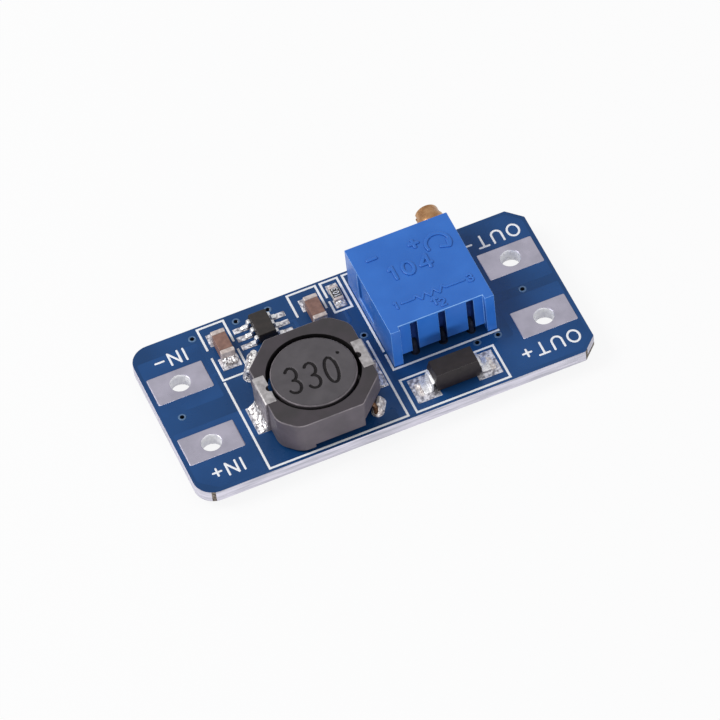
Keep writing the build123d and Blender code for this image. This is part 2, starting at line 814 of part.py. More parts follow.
# Trimmer floor, ceramic plate and resistive track
with BuildPart() as trimmer_floor:
    add(block(cavity_left, cavity_right, cavity_front, cavity_back, floor_low, floor_high))
keep(trimmer_floor.part, "trimmer_floor")
with BuildPart() as trimmer_ceramic:
    add(block(cavity_left, cavity_right, cavity_front, cavity_back, floor_high, ceramic_high))
keep(trimmer_ceramic.part, "trimmer_ceramic")
with BuildPart() as trimmer_track:
    with BuildSketch(Plane((wheel_x, wheel_y, ceramic_high))):
        Circle(wiper_reach + track_width / 2)
        Circle(wiper_reach - track_width / 2, mode=Mode.SUBTRACT)
        with Locations((0, -wiper_reach)):
            Rectangle(*track_gap, mode=Mode.SUBTRACT)
        Circle(pivot_radius + track_width / 2)
    extrude(amount=track_thick)
keep(trimmer_track.part, "trimmer_track")

# Trimmer pins: out of the ceramic, down the grooves and through the board
with BuildPart() as trimmer_pins:
    for x, y in pin_places:
        side_plane = Plane(origin=(x, 0, 0), x_dir=(0, 1, 0), z_dir=(1, 0, 0))
        with BuildLine(side_plane) as run:
            FilletPolyline(
                (cavity_front, pin_height),
                (y, pin_height),
                (y, -pin_below),
                radius=pin_bend,
            )
        with BuildSketch(Plane(origin=run.line @ 0, z_dir=run.line % 0)):
            Circle(pin_radius)
        sweep(path=run.line)
keep(trimmer_pins.part, "trimmer_pins")

# Trimmer wheel: it turns on the housing's pivot and meshes with the worm
with BuildPart() as trimmer_wheel:
    with BuildSketch(Plane((wheel_x, wheel_y, wheel_low))):
        Circle(wheel_radius)
        with PolarLocations(wheel_radius, wheel_teeth):
            Polygon(
                (tooth_gap_over, -tooth_gap_tip / 2 - tooth_gap_flare),
                (tooth_gap_over, tooth_gap_tip / 2 + tooth_gap_flare),
                (-tooth_depth, tooth_gap_root / 2), (-tooth_depth, -tooth_gap_root / 2),
                align=None, mode=Mode.SUBTRACT,
            )
        Circle(pivot_radius + shaft_clearance, mode=Mode.SUBTRACT)
    extrude(amount=wheel_thick)
    hub_high = cavity_roof - 2 * shaft_clearance
    with BuildSketch(Plane((wheel_x, wheel_y, wheel_high))):
        Circle(hub_radius)
        Circle(pivot_radius + shaft_clearance, mode=Mode.SUBTRACT)
    extrude(amount=hub_high - wheel_high)
keep(trimmer_wheel.part, "trimmer_wheel")

# Trimmer wiper: a spring washer under the wheel with a finger that reaches down to the track
finger_drop = wheel_low - wiper_thick - ceramic_high - track_thick - wiper_gap
with BuildPart() as trimmer_wiper:
    with BuildSketch(Plane((wheel_x, wheel_y, wheel_low - wiper_thick))):
        Circle(hub_radius)
        Circle(pivot_radius + 2 * shaft_clearance, mode=Mode.SUBTRACT)
    extrude(amount=wiper_thick)
    with BuildSketch(Plane((wheel_x, wheel_y, 0), x_dir=(0, 1, 0), z_dir=(1, 0, 0))):
        high = wheel_low
        low = wheel_low - wiper_thick
        tip = low - finger_drop
        Polygon(
            (hub_radius - wiper_foot, high), (hub_radius - wiper_foot, low), (wiper_reach, tip),
            (wiper_reach + wiper_foot, tip), (hub_radius + wiper_root, high - wiper_sink),
            align=None,
        )
    extrude(amount=wiper_width / 2, both=True)
keep(trimmer_wiper.part, "trimmer_wiper")

# Trimmer screw: head, collar, plain shaft in the back wall, worm and pivot tip in one piece
worm_pitch = 2 * math.pi * (wheel_radius - tooth_depth / 4) / wheel_teeth
worm_length = worm_turns * worm_pitch
worm_start = wheel_y - worm_pitch / 2 - (worm_turns // 2) * worm_pitch
worm_root = worm_radius - worm_depth
head_end = trimmer_back + collar_length + head_length
with BuildPart() as worm_thread:
    with BuildLine() as spiral:
        Helix(pitch=worm_pitch, height=worm_length, radius=worm_root)
    with BuildSketch(Plane(origin=spiral.line @ 0, x_dir=(1, 0, 0), z_dir=spiral.line % 0)):
        Polygon(
            (-worm_sink, -worm_base / 2), (-worm_sink, worm_base / 2),
            (worm_depth, worm_crest / 2), (worm_depth, -worm_crest / 2),
            align=None,
        )
    sweep(path=spiral.line, is_frenet=True)
placed_thread = at_y(worm_start).location * worm_thread.part
with BuildPart() as trimmer_screw:
    with BuildSketch(at_y(cavity_front - tip_length)):
        Circle(tip_radius)
    extrude(amount=tip_length + shaft_clearance)
    with BuildSketch(at_y(cavity_front + shaft_clearance)):
        Circle(worm_root)
    extrude(amount=cavity_back - cavity_front)
    with BuildSketch(at_y(cavity_back - 2 * seal_thick)):
        Circle(worm_radius)
    extrude(amount=trimmer_back_wall + 2 * seal_thick + shaft_clearance)
    with BuildSketch(at_y(trimmer_back + shaft_clearance)):
        Circle(collar_radius)
    extrude(amount=collar_length)
    with BuildSketch(at_y(trimmer_back)):
        Circle(head_radius)
    extrude(amount=collar_length + head_length)
    fillet(edges().filter_by(GeomType.CIRCLE).group_by(Axis.Y)[-1], head_round)
    with BuildSketch(at_y(head_end)):
        Rectangle(2 * head_radius, driver_slot[0])
    extrude(amount=-driver_slot[1], mode=Mode.SUBTRACT)
    add(placed_thread)
keep(trimmer_screw.part, "trimmer_screw")

# Trimmer seal: a rubber ring round the shaft, held in the channel against the back wall
with BuildPart() as trimmer_seal:
    with BuildSketch(at_y(cavity_back - seal_thick)):
        Circle(channel_radius)
        Circle(worm_radius + seal_gap, mode=Mode.SUBTRACT)
    extrude(amount=seal_thick)
keep(trimmer_seal.part, "trimmer_seal")


# Solder on the top face: a hollow sloping fillet at each end that stands on a pad
def fillet_run(x, y, direction, run, height, width):
    """A wedge of solder against the wall at (x, y), running out along the given direction."""
    dx, dy = direction
    upright = Plane(origin=(x, y, seat), x_dir=(dx, dy, 0), z_dir=(dy, -dx, 0))
    slope = math.hypot(run, height)
    dip = fillet_dip * min(run, height) / slope
    with BuildPart() as wedge:
        with BuildSketch(upright):
            with BuildLine():
                Polyline((0, height), (0, 0), (run, 0))
                ThreePointArc((run, 0), (run / 2 - dip * height, height / 2 - dip * run), (0, height))
            make_face()
        extrude(amount=width / 2, both=True)
    return wedge.part


def solder_fillets():
    """Every sloping fillet on the top face."""
    fillets = []
    for side in (-1, 1):
        for x in (input_capacitor_x, output_capacitor_x):
            wall = capacitor_y + side * capacitor_length / 2
            fillets.append(fillet_run(x, wall, (0, side), *capacitor_solder, capacitor_width))
        wall = resistor_y + side * resistor_length / 2
        fillets.append(fillet_run(resistor_x, wall, (0, side), *resistor_solder, resistor_width))
        wall = chip_x + side * chip_span / 2
        for row in (-1, 0, 1):
            lead_y = chip_y + row * chip_pitch
            fillets.append(
                fillet_run(wall, lead_y, (side, 0), chip_solder_run, chip_lead_thick, chip_lead_width)
            )
        wall = diode_x + side * diode_lead_end
        fillets.append(
            fillet_run(wall, diode_y, (side, 0), diode_solder_run, diode_lead_thick, diode_lead_width)
        )
        wall = inductor_x + side * inductor_length / 2
        fillets.append(fillet_run(wall, inductor_y, (side, 0), *clip_solder, clip_width))
    return fillets


top_fillets = solder_fillets()
with BuildPart() as solder_top:
    for wedge in top_fillets:
        add(wedge)
    for angle, (out, along, length, width, _) in wire_corners.items():
        with BuildSketch(corner_plane(angle, seat)):
            with Locations((corner_reach + out, along)):
                SlotOverall(length, width, rotation=corner_solder_angle)
        extrude(amount=corner_solder_height, taper=corner_solder_taper)
    add(inductor_wire_ends.part, mode=Mode.SUBTRACT)
keep(solder_top.part, "solder_top")

# Solder round the trimmer pins: it fills each hole and rises as a cone below the board
with BuildPart() as solder_bottom:
    for x, y in pin_places:
        with BuildSketch(Plane((x, y, 0), x_dir=(1, 0, 0), z_dir=(0, -1, 0))):
            Polygon(
                (0, -cone_height), (pin_radius + cone_lip, -cone_height), (cone_radius, 0),
                (pin_hole_radius, 0), (pin_hole_radius, board_thick), (0, board_thick),
                align=None,
            )
        revolve(axis=Axis((x, y, 0), (0, 0, 1)))
    add(trimmer_pins.part, mode=Mode.SUBTRACT)
keep(solder_bottom.part, "solder_bottom")

print(f"board {board_length:.2f} x {board_width:.2f} mm, worm pitch {worm_pitch:.4f} mm")
print(f"screw axis at x {screw_x:.3f}, z {screw_z:.3f}; wheel axis at x {wheel_x:.3f}, y {wheel_y:.3f}")
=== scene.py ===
# %% [markdown]
# # A step-up converter board
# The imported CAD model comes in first, as a frame that never moves. Every piece made below is
# built in millimetres, where its numbers are easy to read, and brought to metres at the end.

# %% Load the frame
import bmesh
import bpy
import math
from mathutils import Matrix, Vector, noise


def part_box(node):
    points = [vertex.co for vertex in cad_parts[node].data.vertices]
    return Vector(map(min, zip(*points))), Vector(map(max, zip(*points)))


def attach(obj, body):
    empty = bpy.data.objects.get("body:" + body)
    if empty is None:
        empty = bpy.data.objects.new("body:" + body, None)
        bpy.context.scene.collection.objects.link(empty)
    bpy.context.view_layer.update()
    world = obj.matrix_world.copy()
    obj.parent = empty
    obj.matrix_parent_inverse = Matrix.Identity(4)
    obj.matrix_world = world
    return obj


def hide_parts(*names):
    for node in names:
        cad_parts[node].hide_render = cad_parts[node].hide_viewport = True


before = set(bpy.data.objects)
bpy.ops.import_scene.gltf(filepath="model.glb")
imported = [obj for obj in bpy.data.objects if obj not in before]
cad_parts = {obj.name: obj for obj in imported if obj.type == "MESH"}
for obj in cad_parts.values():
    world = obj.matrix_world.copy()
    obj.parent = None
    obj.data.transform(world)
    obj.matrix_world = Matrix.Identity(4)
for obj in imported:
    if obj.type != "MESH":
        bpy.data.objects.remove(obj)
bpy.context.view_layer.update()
millimetre = 0.001

# %% [markdown]
# ## Camera
# The picture was taken from high at the front, a little to the left of the board, with the
# board turned. A long lens keeps its edges almost parallel. The three rows say which way is
# right, down and forward in the picture, so they are the camera's own axes, two turned round.

# %% Camera
lens = 319.35
camera_place = Vector((-98.504, -319.995, 417.305)) * millimetre
picture_right = Vector((0.91892, -0.38626, -0.07995))
picture_down = Vector((-0.34913, -0.70213, -0.62058))
picture_forward = Vector((0.18357, 0.59817, -0.78006))
camera_data = bpy.data.cameras.new("camera")
camera_data.lens = lens
camera_data.sensor_width = 36.0
camera = bpy.data.objects.new("camera", camera_data)
turn = Matrix((picture_right, -picture_down, -picture_forward)).transposed()
camera.matrix_world = Matrix.Translation(camera_place) @ turn.to_4x4()
bpy.context.scene.collection.objects.link(camera)
bpy.context.scene.camera = camera
print(f"camera {camera_place.length * 1000:.0f} mm away")

# %% [markdown]
# ## Floor and light
# Small products are shot on a white sweep under large soft lamps. The floor is a pale matte
# sheet that mixes in plain white for the camera, so it reads as paper and keeps a soft shadow.
# The main lamp stands high at the back left, so that tall parts shade the board to their right.
# A low one at the front does what a bright table does: it lights the upright faces. Metal and
# gloss see the same white as the camera does, so their edges pick up the bright surroundings.

# %% Floor
floor_height = -0.92
floor_reach = 1500.0


def white_for_camera(tree, share):
    """A number that is share for rays of the camera, of gloss and of glass, and 0 for light."""
    rays = tree.nodes.new("ShaderNodeLightPath")
    largest = rays.outputs["Is Camera Ray"]
    for other in ("Is Glossy Ray", "Is Transmission Ray"):
        both = tree.nodes.new("ShaderNodeMath")
        both.operation = "MAXIMUM"
        tree.links.new(largest, both.inputs[0])
        tree.links.new(rays.outputs[other], both.inputs[1])
        largest = both.outputs[0]
    part = tree.nodes.new("ShaderNodeMath")
    part.operation = "MULTIPLY"
    part.inputs[1].default_value = share
    tree.links.new(largest, part.inputs[0])
    return part.outputs[0]


paper = bpy.data.materials.new("white paper")
paper.use_nodes = True
paper_tree = paper.node_tree
paper_shader = paper_tree.nodes["Principled BSDF"]
paper_shader.inputs["Base Color"].default_value = (0.86, 0.86, 0.87, 1)
paper_shader.inputs["Roughness"].default_value = 0.9
paper_shader.inputs["Specular IOR Level"].default_value = 0.1
paper_white = paper_tree.nodes.new("ShaderNodeEmission")
paper_mix = paper_tree.nodes.new("ShaderNodeMixShader")
paper_tree.links.new(white_for_camera(paper_tree, 0.9), paper_mix.inputs["Fac"])
paper_tree.links.new(paper_shader.outputs["BSDF"], paper_mix.inputs[1])
paper_tree.links.new(paper_white.outputs["Emission"], paper_mix.inputs[2])
paper_tree.links.new(paper_mix.outputs["Shader"], paper_tree.nodes["Material Output"].inputs["Surface"])
floor_mesh = bpy.data.meshes.new("floor")
floor_signs = ((-1, -1), (1, -1), (1, 1), (-1, 1))
floor_corners = [(x * floor_reach, y * floor_reach, floor_height) for x, y in floor_signs]
floor_mesh.from_pydata(floor_corners, [], [(0, 1, 2, 3)])
floor_mesh.transform(Matrix.Scale(millimetre, 4))
floor_mesh.materials.append(paper)
floor = bpy.data.objects.new("floor", floor_mesh)
bpy.context.scene.collection.objects.link(floor)
print(f"floor at {floor_height} mm")

# %% Sky and lamps
sky_level = 0.44
world = bpy.data.worlds.new("studio")
bpy.context.scene.world = world
world.use_nodes = True
world_tree = world.node_tree
soft_sky = world_tree.nodes["Background"]
soft_sky.inputs["Color"].default_value = (0.97, 0.98, 1.0, 1)
soft_sky.inputs["Strength"].default_value = sky_level
white_sky = world_tree.nodes.new("ShaderNodeBackground")
white_sky.inputs["Strength"].default_value = 1.0
sky_mix = world_tree.nodes.new("ShaderNodeMixShader")
world_tree.links.new(white_for_camera(world_tree, 1.0), sky_mix.inputs["Fac"])
world_tree.links.new(soft_sky.outputs["Background"], sky_mix.inputs[1])
world_tree.links.new(white_sky.outputs["Background"], sky_mix.inputs[2])
world_tree.links.new(sky_mix.outputs["Shader"], world_tree.nodes["World Output"].inputs["Surface"])


def soft_lamp(name, place, width, height, watts):
    """A lamp that looks at the board's middle; place, width and height in millimetres."""
    data = bpy.data.lights.new(name, "AREA")
    data.shape = "RECTANGLE"
    data.size = width * millimetre
    data.size_y = height * millimetre
    data.energy = watts
    lamp = bpy.data.objects.new(name, data)
    lamp.location = Vector(place) * millimetre
    lamp.rotation_euler = (-lamp.location).to_track_quat("-Z", "Y").to_euler()
    bpy.context.scene.collection.objects.link(lamp)


soft_lamp("main lamp", (-300, 130, 340), 220, 220, 1.2)
soft_lamp("front lamp", (-60, -420, 45), 300, 80, 0.62)
soft_lamp("right lamp", (340, -160, 260), 260, 260, 0.16)
bpy.context.scene.view_settings.view_transform = "Standard"
print("studio lit")

# %% [markdown]
# ## How a finish is made
# A real surface is never one flat number. Each finish here drives its colour, its roughness
# and a little relief from noise whose grain is given in millimetres, so that it stays in scale.
# Colours are written as a screen shows them and turned into the linear numbers of a shader.

# %% Finish helpers
def tone(red, green, blue):
    """A screen colour, each part 0 to 255, in the linear numbers that a shader takes."""
    parts = [value / 255 for value in (red, green, blue)]
    return tuple(p / 12.92 if p <= 0.04045 else ((p + 0.055) / 1.055) ** 2.4 for p in parts) + (1.0,)


def grain(finish, size, detail=3.0, stretch=(1, 1, 1)):
    """The number that a noise of the given grain size, in millimetres, has at each point."""
    tree = finish.node_tree
    place = tree.nodes.new("ShaderNodeTexCoord")
    spread = tree.nodes.new("ShaderNodeMapping")
    spread.inputs["Scale"].default_value = stretch
    texture = tree.nodes.new("ShaderNodeTexNoise")
    texture.inputs["Scale"].default_value = 1 / (size * millimetre)
    texture.inputs["Detail"].default_value = detail
    tree.links.new(place.outputs["Object"], spread.inputs["Vector"])
    tree.links.new(spread.outputs["Vector"], texture.inputs["Vector"])
    return texture.outputs["Fac"]


def paint(finish, number, low, high, start=0.35, end=0.65):
    """The base colour goes from low to high as the number goes from start to end."""
    tree = finish.node_tree
    ramp = tree.nodes.new("ShaderNodeValToRGB")
    ramp.color_ramp.elements[0].position = start
    ramp.color_ramp.elements[0].color = low
    ramp.color_ramp.elements[1].position = end
    ramp.color_ramp.elements[1].color = high
    tree.links.new(number, ramp.inputs["Fac"])
    tree.links.new(ramp.outputs["Color"], tree.nodes["Principled BSDF"].inputs["Base Color"])


def polish(finish, number, low, high):
    """The roughness goes from low to high with the number."""
    tree = finish.node_tree
    span = tree.nodes.new("ShaderNodeMapRange")
    span.inputs["From Min"].default_value = 0.3
    span.inputs["From Max"].default_value = 0.7
    span.inputs["To Min"].default_value = low
    span.inputs["To Max"].default_value = high
    tree.links.new(number, span.inputs["Value"])
    tree.links.new(span.outputs["Result"], tree.nodes["Principled BSDF"].inputs["Roughness"])


def relief(finish, number, depth):
    """Bumps of the given depth in millimetres; a second relief lies on top of the first."""
    tree = finish.node_tree
    bump = tree.nodes.new("ShaderNodeBump")
    bump.inputs["Distance"].default_value = depth * millimetre
    normal = tree.nodes["Principled BSDF"].inputs["Normal"]
    if normal.is_linked:
        tree.links.new(normal.links[0].from_socket, bump.inputs["Normal"])
    tree.links.new(number, bump.inputs["Height"])
    tree.links.new(bump.outputs["Normal"], normal)


def finish_of(name, low, high, size, rough, bump, metallic=0.0, specular=0.5, coat=0.0,
              stretch=(1, 1, 1), span=(0.35, 0.65)):
    """A finish: two colours in grains of one size, a span of roughness, and a relief's grain and depth."""
    finish = bpy.data.materials.new(name)
    finish.use_nodes = True
    shader = finish.node_tree.nodes["Principled BSDF"]
    shader.inputs["Metallic"].default_value = metallic
    shader.inputs["Specular IOR Level"].default_value = specular
    shader.inputs["Coat Weight"].default_value = coat
    paint(finish, grain(finish, size, stretch=stretch), low, high, *span)
    polish(finish, grain(finish, size / 3), *rough)
    relief(finish, grain(finish, bump[0]), bump[1])
    return finish


# %% [markdown]
# ## How a piece is made
# Many pieces start from the CAD node's own shape, because its size is right, and only need what
# CAD left out: softened edges and clean shading. The copy's triangles are joined into whole
# faces first, so that a bevel finds the true edges. The rest are built point by point.

# %% Piece helpers
def cad_copy(node):
    """A copy of a CAD node's mesh in millimetres, with its triangles joined into whole faces."""
    shape = bmesh.new()
    shape.from_mesh(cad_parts[node].data)
    bmesh.ops.scale(shape, vec=(1 / millimetre,) * 3, verts=shape.verts)
    bmesh.ops.remove_doubles(shape, verts=shape.verts, dist=0.0008)
    bmesh.ops.dissolve_limit(shape, angle_limit=math.radians(1.0), verts=shape.verts, edges=shape.edges)
    return shape


def soften(shape, radius, steps=2, wanted=None, angle=28):
    """Round the edges that turn by more than the angle, all of them or those that wanted picks."""
    edges = [e for e in shape.edges if len(e.link_faces) == 2 and e.calc_face_angle() > math.radians(angle)]
    if wanted:
        edges = [e for e in edges if wanted(e)]
    bmesh.ops.bevel(
        shape, geom=edges, offset=radius, offset_type="OFFSET", segments=steps, profile=0.5,
        affect="EDGES", clamp_overlap=True,
    )


def make_piece(name, shape, finishes, body="module", stands_for=(), even=True):
    """Bring a shape to metres, dress it and let it ride on its CAD body."""
    bmesh.ops.recalc_face_normals(shape, faces=shape.faces)
    mesh = bpy.data.meshes.new(name)
    shape.to_mesh(mesh)
    shape.free()
    mesh.transform(Matrix.Scale(millimetre, 4))
    for finish in finishes:
        mesh.materials.append(finish)
    mesh.shade_smooth()
    piece = bpy.data.objects.new(name, mesh)
    bpy.context.scene.collection.objects.link(piece)
    if even:
        piece.modifiers.new("even shading", "WEIGHTED_NORMAL").keep_sharp = True
    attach(piece, body)
    if stands_for:
        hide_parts(*stands_for)
    print(f"{name}: {len(mesh.polygons)} faces")


# %% [markdown]
# ## Board
# The board is glass cloth in resin, with a lacquer called solder mask on both faces and bare,
# fibrous edges where it was cut out of its panel. One mesh carries both: each face takes the
# mask or the laminate by the way it looks. Two front corners are torn where the board was
# broken out, so planes cut their faces apart there and the small ones take a darker finish.

# %% Solder mask and laminate
mask = finish_of(
    "blue solder mask", tone(21, 64, 113), tone(28, 74, 129), 7.0, (0.24, 0.36), (0.6, 0.0012),
    specular=0.25
)
mask_on_copper = finish_of(
    "mask over copper", tone(24, 69, 122), tone(32, 79, 137), 5.0, (0.24, 0.36), (0.5, 0.0015),
    specular=0.25
)
laminate = finish_of(
    "cut laminate", tone(184, 183, 194), tone(226, 222, 235), 0.6, (0.6, 0.8), (0.1, 0.004), specular=0.3,
    stretch=(0.16, 0.16, 2.0)
)
weave = grain(laminate, 0.12, stretch=(0.12, 0.12, 2.2))
relief(laminate, weave, 0.012)


outline_from = Vector((17.0, 8.0))


def on_outline(edge):
    """True for the edges round the board's outline, and not for those of its holes."""
    middle = (edge.verts[0].co + edge.verts[1].co) / 2
    return abs(middle.y) > outline_from.y or abs(middle.x) > outline_from.x


def cut_across(shape, spot, normal):
    """Cut a shape's faces along a plane and keep both sides."""
    everything = shape.verts[:] + shape.edges[:] + shape.faces[:]
    bmesh.ops.bisect_plane(shape, geom=everything, dist=1e-5, plane_co=spot, plane_no=normal)


torn_laminate = finish_of(
    "torn laminate", tone(34, 34, 34), tone(150, 138, 126), 0.2, (0.7, 0.9), (0.06, 0.02), specular=0.2
)
corner_middle = Vector((-16.2, -6.7, 0.0))
corner_radius = 1.8
torn_width = 0.36
torn_heading = math.radians(249)
torn_spot = corner_middle + Vector((math.cos(torn_heading), math.sin(torn_heading), 0.0)) * corner_radius
along_torn = Vector((-math.sin(torn_heading), math.cos(torn_heading), 0.0))
cut_end = Vector((16.7, -8.5, 0.0))
along_cut = Vector((1.0, 1.0, 0.0)).normalized()
torn_height = 0.42
level = 0.9

board = cad_copy("board")
soften(board, 0.05, wanted=on_outline)
cut_across(board, torn_spot + along_torn * torn_width / 2, along_torn)
cut_across(board, torn_spot - along_torn * torn_width / 2, along_torn)
cut_across(board, Vector((0.0, 0.0, torn_height)), Vector((0.0, 0.0, 1.0)))
cut_across(board, cut_end + along_cut * torn_width, along_cut)
for face in board.faces:
    middle = face.calc_center_median()
    from_torn = middle - torn_spot
    at_torn = abs(from_torn.dot(along_torn)) < torn_width / 2 and from_torn.xy.length < torn_width
    at_cut = (middle - cut_end).dot(along_cut) > -0.02 and face.normal.x > 0.5 and face.normal.y < -0.5
    near_end = (middle - cut_end).dot(along_cut) < torn_width
    if abs(face.normal.z) > level:
        face.material_index = 0
    elif at_torn or (at_cut and (near_end or middle.z < torn_height)):
        face.material_index = 2
    else:
        face.material_index = 1
make_piece("board_laminate", board, [mask, laminate, torn_laminate], stands_for=["board"])

# %% [markdown]
# ### Copper under the mask
# Copper areas lie under the lacquer as low plateaus, a shade lighter than the bare laminate
# beside them. Each is a flat shape with rounded corners, and its thin edge slopes down.

# %% Copper areas
top = 1.2
copper_rise = 0.018
slope = 0.04


def rounded_corners(corners, radius, steps=4):
    """The outline through the corners, each replaced by a small arc."""
    outline = []
    for i, corner in enumerate(corners):
        here = Vector(corner)
        back = (Vector(corners[i - 1]) - here).normalized() * radius
        ahead = (Vector(corners[(i + 1) % len(corners)]) - here).normalized() * radius
        for k in range(steps + 1):
            t = k / steps
            outline.append(here + back * (1 - t) ** 2 + ahead * t ** 2)
    return outline


def plateau(shape, corners, low, high, radius=0.25):
    """A thin plate with sloping edges between two heights."""
    outline = rounded_corners(corners, radius)
    area = sum(a.x * b.y - b.x * a.y for a, b in zip(outline, outline[1:] + outline[:1]))
    if area < 0:
        outline.reverse()
    inner = []
    for i, here in enumerate(outline):
        along = (outline[(i + 1) % len(outline)] - outline[i - 1]).normalized()
        inner.append(here + Vector((-along.y, along.x)) * slope)
    lower = [shape.verts.new((p.x, p.y, low)) for p in outline]
    upper = [shape.verts.new((p.x, p.y, high)) for p in inner]
    shape.faces.new(upper)
    shape.faces.new(list(reversed(lower)))
    for i in range(len(lower)):
        j = (i + 1) % len(lower)
        shape.faces.new((lower[i], lower[j], upper[j], upper[i]))


copper_areas = [
    [(-17.7, -1.35), (-9.3, -1.35), (-9.3, -4.6), (-12.0, -4.6), (-12.0, -8.1), (-16.2, -8.1),
     (-17.7, -6.8), (-17.7, -4.7), (-12.9, -4.7), (-12.9, -2.3), (-17.7, -2.3)],
    [(-17.7, 0.6), (-12.2, 0.6), (-12.2, 6.9), (-17.7, 6.9), (-17.7, 4.7), (-12.9, 4.7), (-12.9, 2.3),
     (-17.7, 2.3)],
    [(12.0, 0.45), (17.7, 0.45), (17.7, 2.3), (12.9, 2.3), (12.9, 4.7), (17.7, 4.7), (17.7, 7.0),
     (16.6, 8.15), (12.0, 8.15)],
    [(7.6, -8.15), (16.6, -8.15), (17.7, -7.0), (17.7, -4.7), (12.9, -4.7), (12.9, -2.3), (17.7, -2.3),
     (17.7, -0.45), (12.0, -0.45), (12.0, -4.2), (7.6, -4.2)],
    [(-1.5, -1.2), (1.1, -1.2), (1.1, -4.4), (4.3, -4.4), (4.3, -8.15), (0.0, -8.15), (0.0, -6.9),
     (-1.5, -6.9)],
]
pours = bmesh.new()
for area in copper_areas:
    plateau(pours, area, top - copper_rise, top + copper_rise)
area_under = [(-11.0, -8.1), (11.0, -8.1), (11.0, -4.4), (2.2, -4.4), (2.2, -0.9), (-11.0, -0.9)]
plateau(pours, area_under, -copper_rise, copper_rise)
make_piece("copper_areas", pours, [mask_on_copper])

# %% [markdown]
# ## Strokes
# Printed lines, tracks, raised marks and letters are all strokes: a low rounded ridge along a
# line of points, with round ends. One helper draws them all, and a sharp corner is made of two
# strokes that overlap, as a pen would do.

# %% Stroke helper
def split_at_corners(line, limit=40):
    """Cut a line of points wherever it turns by more than the limit, in degrees."""
    line = [p for i, p in enumerate(line) if i == 0 or math.dist(p, line[i - 1]) > 1e-4]
    runs = [[line[0]]]
    for i in range(1, len(line)):
        runs[-1].append(line[i])
        if i + 1 < len(line):
            into = Vector(line[i]) - Vector(line[i - 1])
            out = Vector(line[i + 1]) - Vector(line[i])
            if into.angle(out) > math.radians(limit):
                runs.append([line[i]])
    return runs


def stroke(shape, line, width, base, rise, squareness=0.6):
    """A low rounded ridge along the line, up from the base by rise; less than 0.6 is squarer."""
    half = width / 2
    across_steps = 8
    for run in split_at_corners(line):
        points = [Vector(p) for p in run]
        headings = [
            (points[min(i + 1, len(points) - 1)] - points[max(i - 1, 0)]).normalized()
            for i in range(len(points))
        ]
        sections = []
        for angle in (80, 55, 30):
            reach = half * math.sin(math.radians(angle))
            share = math.cos(math.radians(angle))
            sections.append((points[0] - headings[0] * reach, headings[0], share))
        sections += [(p, h, 1.0) for p, h in zip(points, headings)]
        for angle in (30, 55, 80):
            reach = half * math.sin(math.radians(angle))
            share = math.cos(math.radians(angle))
            sections.append((points[-1] + headings[-1] * reach, headings[-1], share))
        rows = []
        for centre, heading, share in sections:
            across = Vector((-heading.y, heading.x)) * half * share
            row = []
            for step in range(across_steps + 1):
                swing = math.pi * step / across_steps
                spot = centre - across * math.cos(swing)
                height = base + rise * share * math.sin(swing) ** squareness
                row.append(shape.verts.new((spot.x, spot.y, height)))
            rows.append(row)
        for a, b in zip(rows, rows[1:]):
            for i in range(across_steps):
                shape.faces.new((a[i], a[i + 1], b[i + 1], b[i]))
            shape.faces.new((a[0], b[0], b[-1], a[-1]))
        shape.faces.new(rows[0])
        shape.faces.new(list(reversed(rows[-1])))


# %% Tracks under the mask
tracks = bmesh.new()
top_tracks = [
    [(-4.6, 5.6), (-3.9, 5.4), (-3.6, 3.2), (-3.0, 2.6), (-0.9, 2.4), (0.3, 3.4), (0.3, 4.7)],
    [(0.75, 1.0), (0.75, -1.0)],
    [(-12.2, 3.0), (-11.2, 3.3), (-10.5, 3.6)],
    [(10.85, -3.2), (11.4, -2.2), (11.5, 2.0), (12.1, 3.0)],
]
for line in top_tracks:
    stroke(tracks, line, 0.36, top - 0.005, 0.026)
under_tracks = [
    [(3.95, -2.1), (2.8, 0.4), (0.75, 1.2)],
    [(9.03, -2.1), (8.94, -3.5), (10.85, -3.5), (12.6, -3.5)],
    [(-16.2, 0.1), (-15.1, 0.9), (-15.1, 2.1)],
    [(6.49, -2.1), (6.6, 3.2), (12.6, 3.5)],
]
for line in under_tracks:
    stroke(tracks, line, 0.5, 0.005, -0.03)
make_piece("tracks", tracks, [mask_on_copper])

# %% [markdown]
# ## Terminals
# Each terminal is a tinned copper pad on both faces, joined through its hole. The tin was
# levelled with hot air, so the pad is very slightly domed, with soft edges. Rings of points
# run from the round hole out to the square outline, and close into one solid.

# %% Tinned pads
tinned = finish_of(
    "levelled tin", tone(173, 170, 185), tone(187, 183, 199), 1.6, (0.26, 0.38), (0.45, 0.003), metallic=1.0
)
relief(tinned, grain(tinned, 2.2, detail=1.0), 0.012)
# The wall of the hole is the same tin painted almost white: a painted reflection.
hole_tin_painted_reflection = finish_of(
    "tin in a hole, painted reflection", tone(236, 236, 242), tone(254, 254, 255), 0.5, (0.4, 0.6), (0.15, 0.01), metallic=0.2
)
pad_size = (5.0, 3.0)
hole_radius = 0.875
pad_profile = [
    (0.0, 1.21), (0.006, 1.236), (0.03, 1.252), (0.12, 1.262), (0.4, 1.272), (0.75, 1.268), (0.92, 1.258),
    (0.985, 1.246), (1.0, 1.228), (1.0, 1.2),
]


def pad_outline(length, width, corner=0.12):
    """Points round a rounded rectangle, close enough together to follow a circle too."""
    corners = [
        (sx * (length / 2 - corner), sy * (width / 2 - corner), start)
        for sx, sy, start in ((1, 1, 0), (-1, 1, 90), (-1, -1, 180), (1, -1, 270))
    ]
    rough_outline = []
    for cx, cy, start in corners:
        for k in range(5):
            a = math.radians(start + 22.5 * k)
            rough_outline.append(Vector((cx + corner * math.cos(a), cy + corner * math.sin(a))))
    outline = []
    for here, ahead in zip(rough_outline, rough_outline[1:] + rough_outline[:1]):
        parts = max(1, round((ahead - here).length / 0.25))
        outline += [here.lerp(ahead, k / parts) for k in range(parts)]
    return outline


